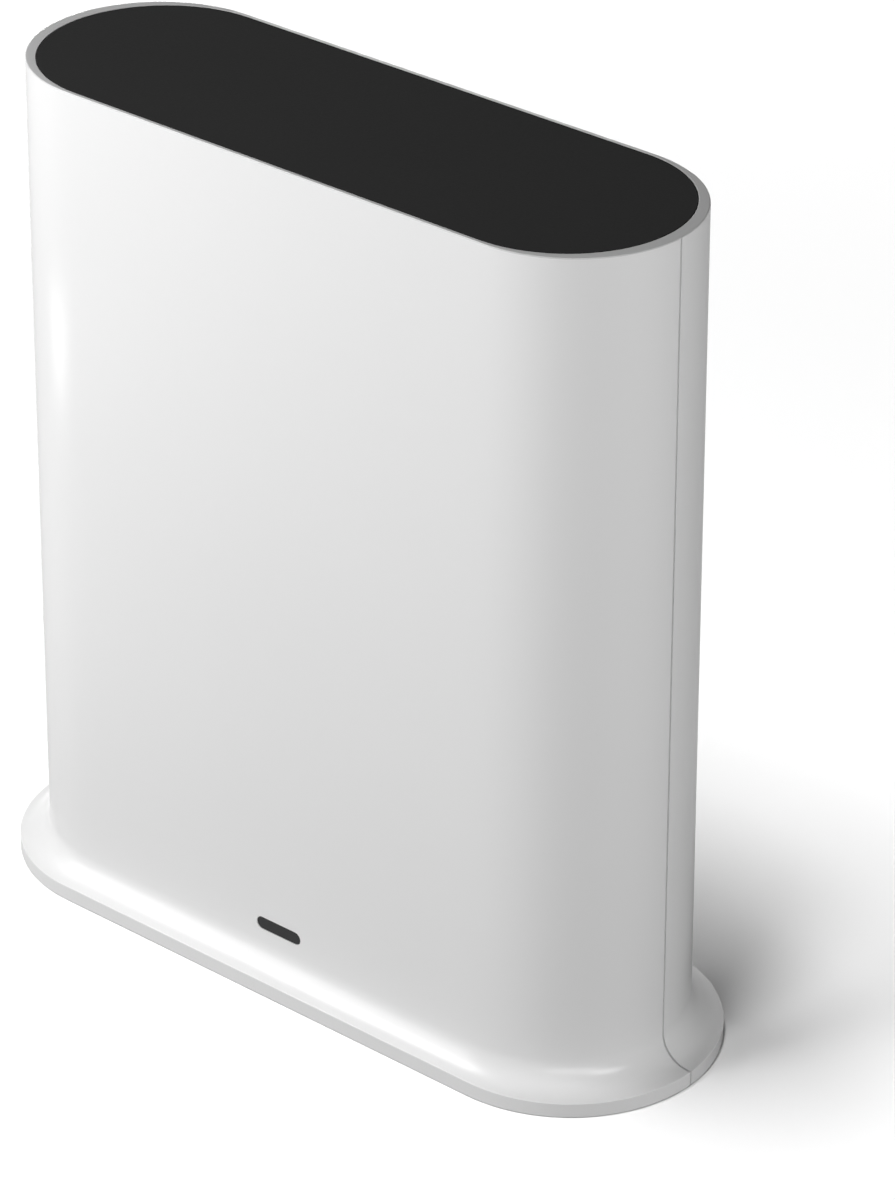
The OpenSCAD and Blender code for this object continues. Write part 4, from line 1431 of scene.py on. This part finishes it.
@dataclass
class Studio:
    """Floor, lamps, surroundings and camera, in metres and degrees."""

    floor_size: float = 8.0
    floor_z: float = 0.0002
    floor_color: float = 0.90
    floor_bounce: float = 0.05
    floor_glow: float = 0.01
    glow_range: Point2 = (0.25, 1.20)
    floor_mirror: float = 0.52
    ambient: float = 0.02
    sky_mirror: float = 0.40
    sky_range: Point2 = (0.30, 0.50)
    azimuth: float = 40.04
    elevation: float = 29.47
    roll: float = 0.26
    distance: float = 0.9112
    aim: Point3 = (0.01564, 0.00660, 0.07604)
    lens: float = 148.4
    lamps: tuple[Lamp, ...] = (
        Lamp("front", (-0.80, -0.90, 0.33), (0.60, 0.56), 5.3),
        Lamp("near_left", (-0.22, -0.26, 0.32), (0.20, 0.20), 1.22),
        Lamp("right", (0.95, -0.70, 0.16), (0.80, 0.50), 5.6),
        Lamp("right_end", (0.22, -0.12, 0.34), (0.09, 0.09), 0.05),
        Lamp("glint", (0.40, -0.085, 0.155), (0.15, 0.09), 0.38),
        Lamp("rear", (-0.80, 0.90, 0.09), (0.60, 0.14), 12.0),
        Lamp("left_foot", (-0.14, -0.07, 0.07), (0.04, 0.04), 0.016, aim=(-0.072, -0.015, 0.008)),
        floor_lamp("floor_front", -0.60, -1.24, 24.4),
        floor_lamp("floor_left", -0.60, -0.72, 13.1),
        floor_lamp("floor_rear", -0.60, -0.20, 22.6),
        floor_lamp("floor_middle", -0.24, -0.20, 17.8),
        floor_lamp("floor_far", 0.12, -1.24, 4.7),
        floor_lamp("floor_right", 0.12, -0.72, 35.0),
    )

    def build(self) -> None:
        """Sets up the whole studio."""
        floor = self.floor()
        self.world()
        for lamp in self.lamps:
            lamp.build(floor)
        self.camera()
        bpy.context.scene.view_settings.view_transform = "Standard"

    def seen(self, wiring: Wiring, mirror: float | bpy.types.NodeSocket) -> bpy.types.NodeSocket:
        """Socket that is 1 for rays that show the surroundings and 0 for rays that only carry light.

        Args:
            wiring: Tree of the floor or the world.
            mirror: Its value, or the socket that carries it, for rays that show them as a reflection.

        Returns:
            The socket.
        """
        rays = wiring.add("ShaderNodeLightPath").outputs
        dimmed = wiring.add("ShaderNodeMath", {0: rays["Is Glossy Ray"], 1: mirror}, operation="MULTIPLY")
        either = rays["Is Camera Ray"]
        for kind in (dimmed.outputs["Value"], rays["Is Transmission Ray"]):
            step = wiring.add("ShaderNodeMath", {0: either, 1: kind}, operation="MAXIMUM")
            either = step.outputs["Value"]
        return either

    def far_glow(self, wiring: Wiring) -> bpy.types.NodeSocket:
        """Strength of the floor's own white, which takes over where the lamps no longer reach.

        Args:
            wiring: Tree of the floor's material.

        Returns:
            The socket that carries the strength.
        """
        near, far = self.glow_range
        coords = wiring.add("ShaderNodeTexCoord").outputs["Object"]
        away = wiring.add("ShaderNodeVectorMath", {0: coords}, operation="LENGTH")
        rise = {"Value": away.outputs["Value"], "From Min": near, "From Max": far, "To Min": self.floor_glow}
        level = wiring.add("ShaderNodeMapRange", rise, interpolation_type="SMOOTHSTEP")
        return level.outputs["Result"]

    def matte(self, wiring: Wiring, level: float) -> bpy.types.NodeSocket:
        """Diffuse shader of an even grey."""
        return wiring.add("ShaderNodeBsdfDiffuse", {"Color": (level, level, level, 1.0)}).outputs["BSDF"]

    def floor(self) -> bpy.types.Object:
        """Lays a pale floor, white where it is seen with the shadow kept, and darker to other rays.

        It lies a little above the feet's lowest faces, because soft feet give under the weight.

        Returns:
            The floor.
        """
        mesh = bpy.data.meshes.new("floor")
        s, z = self.floor_size / 2, self.floor_z
        mesh.from_pydata([(-s, -s, z), (s, -s, z), (s, s, z), (-s, s, z)], [], [(0, 1, 2, 3)])
        item = linked("floor", mesh)
        material = bpy.data.materials.new("floor_pale")
        material.use_nodes = True
        material.node_tree.nodes.clear()
        wiring = Wiring(material.node_tree)
        glow = wiring.add("ShaderNodeEmission", {"Strength": self.far_glow(wiring)})
        lit = wiring.add("ShaderNodeAddShader", {
            0: self.matte(wiring, self.floor_color), 1: glow.outputs["Emission"]})
        pick = wiring.add("ShaderNodeMixShader", {
            "Fac": self.seen(wiring, self.floor_mirror), 1: self.matte(wiring, self.floor_bounce),
            2: lit.outputs["Shader"]})
        wiring.add("ShaderNodeOutputMaterial", {"Surface": pick.outputs["Shader"]})
        mesh.materials.append(material)
        return item

    def mirrored_sky(self, wiring: Wiring) -> bpy.types.NodeSocket:
        """Level of the surroundings in reflections, grey near the horizon and white higher up.

        Args:
            wiring: Tree of the world.

        Returns:
            The socket that carries the level.
        """
        low, high = self.sky_range
        coords = wiring.add("ShaderNodeTexCoord").outputs["Generated"]
        parts = wiring.add("ShaderNodeSeparateXYZ", {"Vector": coords})
        level = wiring.add("ShaderNodeMapRange", {
            "Value": parts.outputs["Z"], "From Min": low, "From Max": high, "To Min": self.sky_mirror})
        return level.outputs["Result"]

    def world(self) -> None:
        """White where it is seen, dimmer in reflections, and an even grey light for everything else."""
        world = bpy.data.worlds.new("studio")
        bpy.context.scene.world = world
        world.use_nodes = True
        wiring = Wiring(world.node_tree)
        shown = self.seen(wiring, self.mirrored_sky(wiring))
        level = wiring.add("ShaderNodeMapRange", {"Value": shown, "To Min": self.ambient})
        wiring.feed(world.node_tree.nodes["Background"], {
            "Color": (1.0, 1.0, 1.0, 1.0), "Strength": level.outputs["Result"]})

    def camera(self) -> None:
        """Places the camera from its angles about the aim point."""
        turn, rise = math.radians(self.azimuth), math.radians(self.elevation)
        back = Vector((math.sin(turn) * math.cos(rise), -math.cos(turn) * math.cos(rise), math.sin(rise)))
        level = Vector((math.cos(turn), math.sin(turn), 0.0))
        right = Matrix.Rotation(math.radians(self.roll), 3, back) @ level
        up = back.cross(right)
        lens = bpy.data.cameras.new("camera")
        lens.lens = self.lens
        lens.sensor_fit = "AUTO"
        lens.dof.use_dof = False
        item = linked("camera", lens)
        turned = Matrix((right, up, back)).transposed().to_4x4()
        item.matrix_world = Matrix.Translation(Vector(self.aim) + back * self.distance) @ turned
        bpy.context.scene.camera = item


def main() -> None:
    """Builds every sub-assembly in order, then the studio."""
    logging.basicConfig(level=logging.INFO, format="%(message)s")
    repeater = Repeater()
    shells, window, bay = Shells(), StatusWindow(), PortBay()
    shells.build(window, bay)
    window.build()
    TopPanel().build(shells)
    Base().build(shells, repeater)
    bay.build(repeater)
    BoardParts().build()
    Studio().build()


if __name__ == "__main__":
    main()
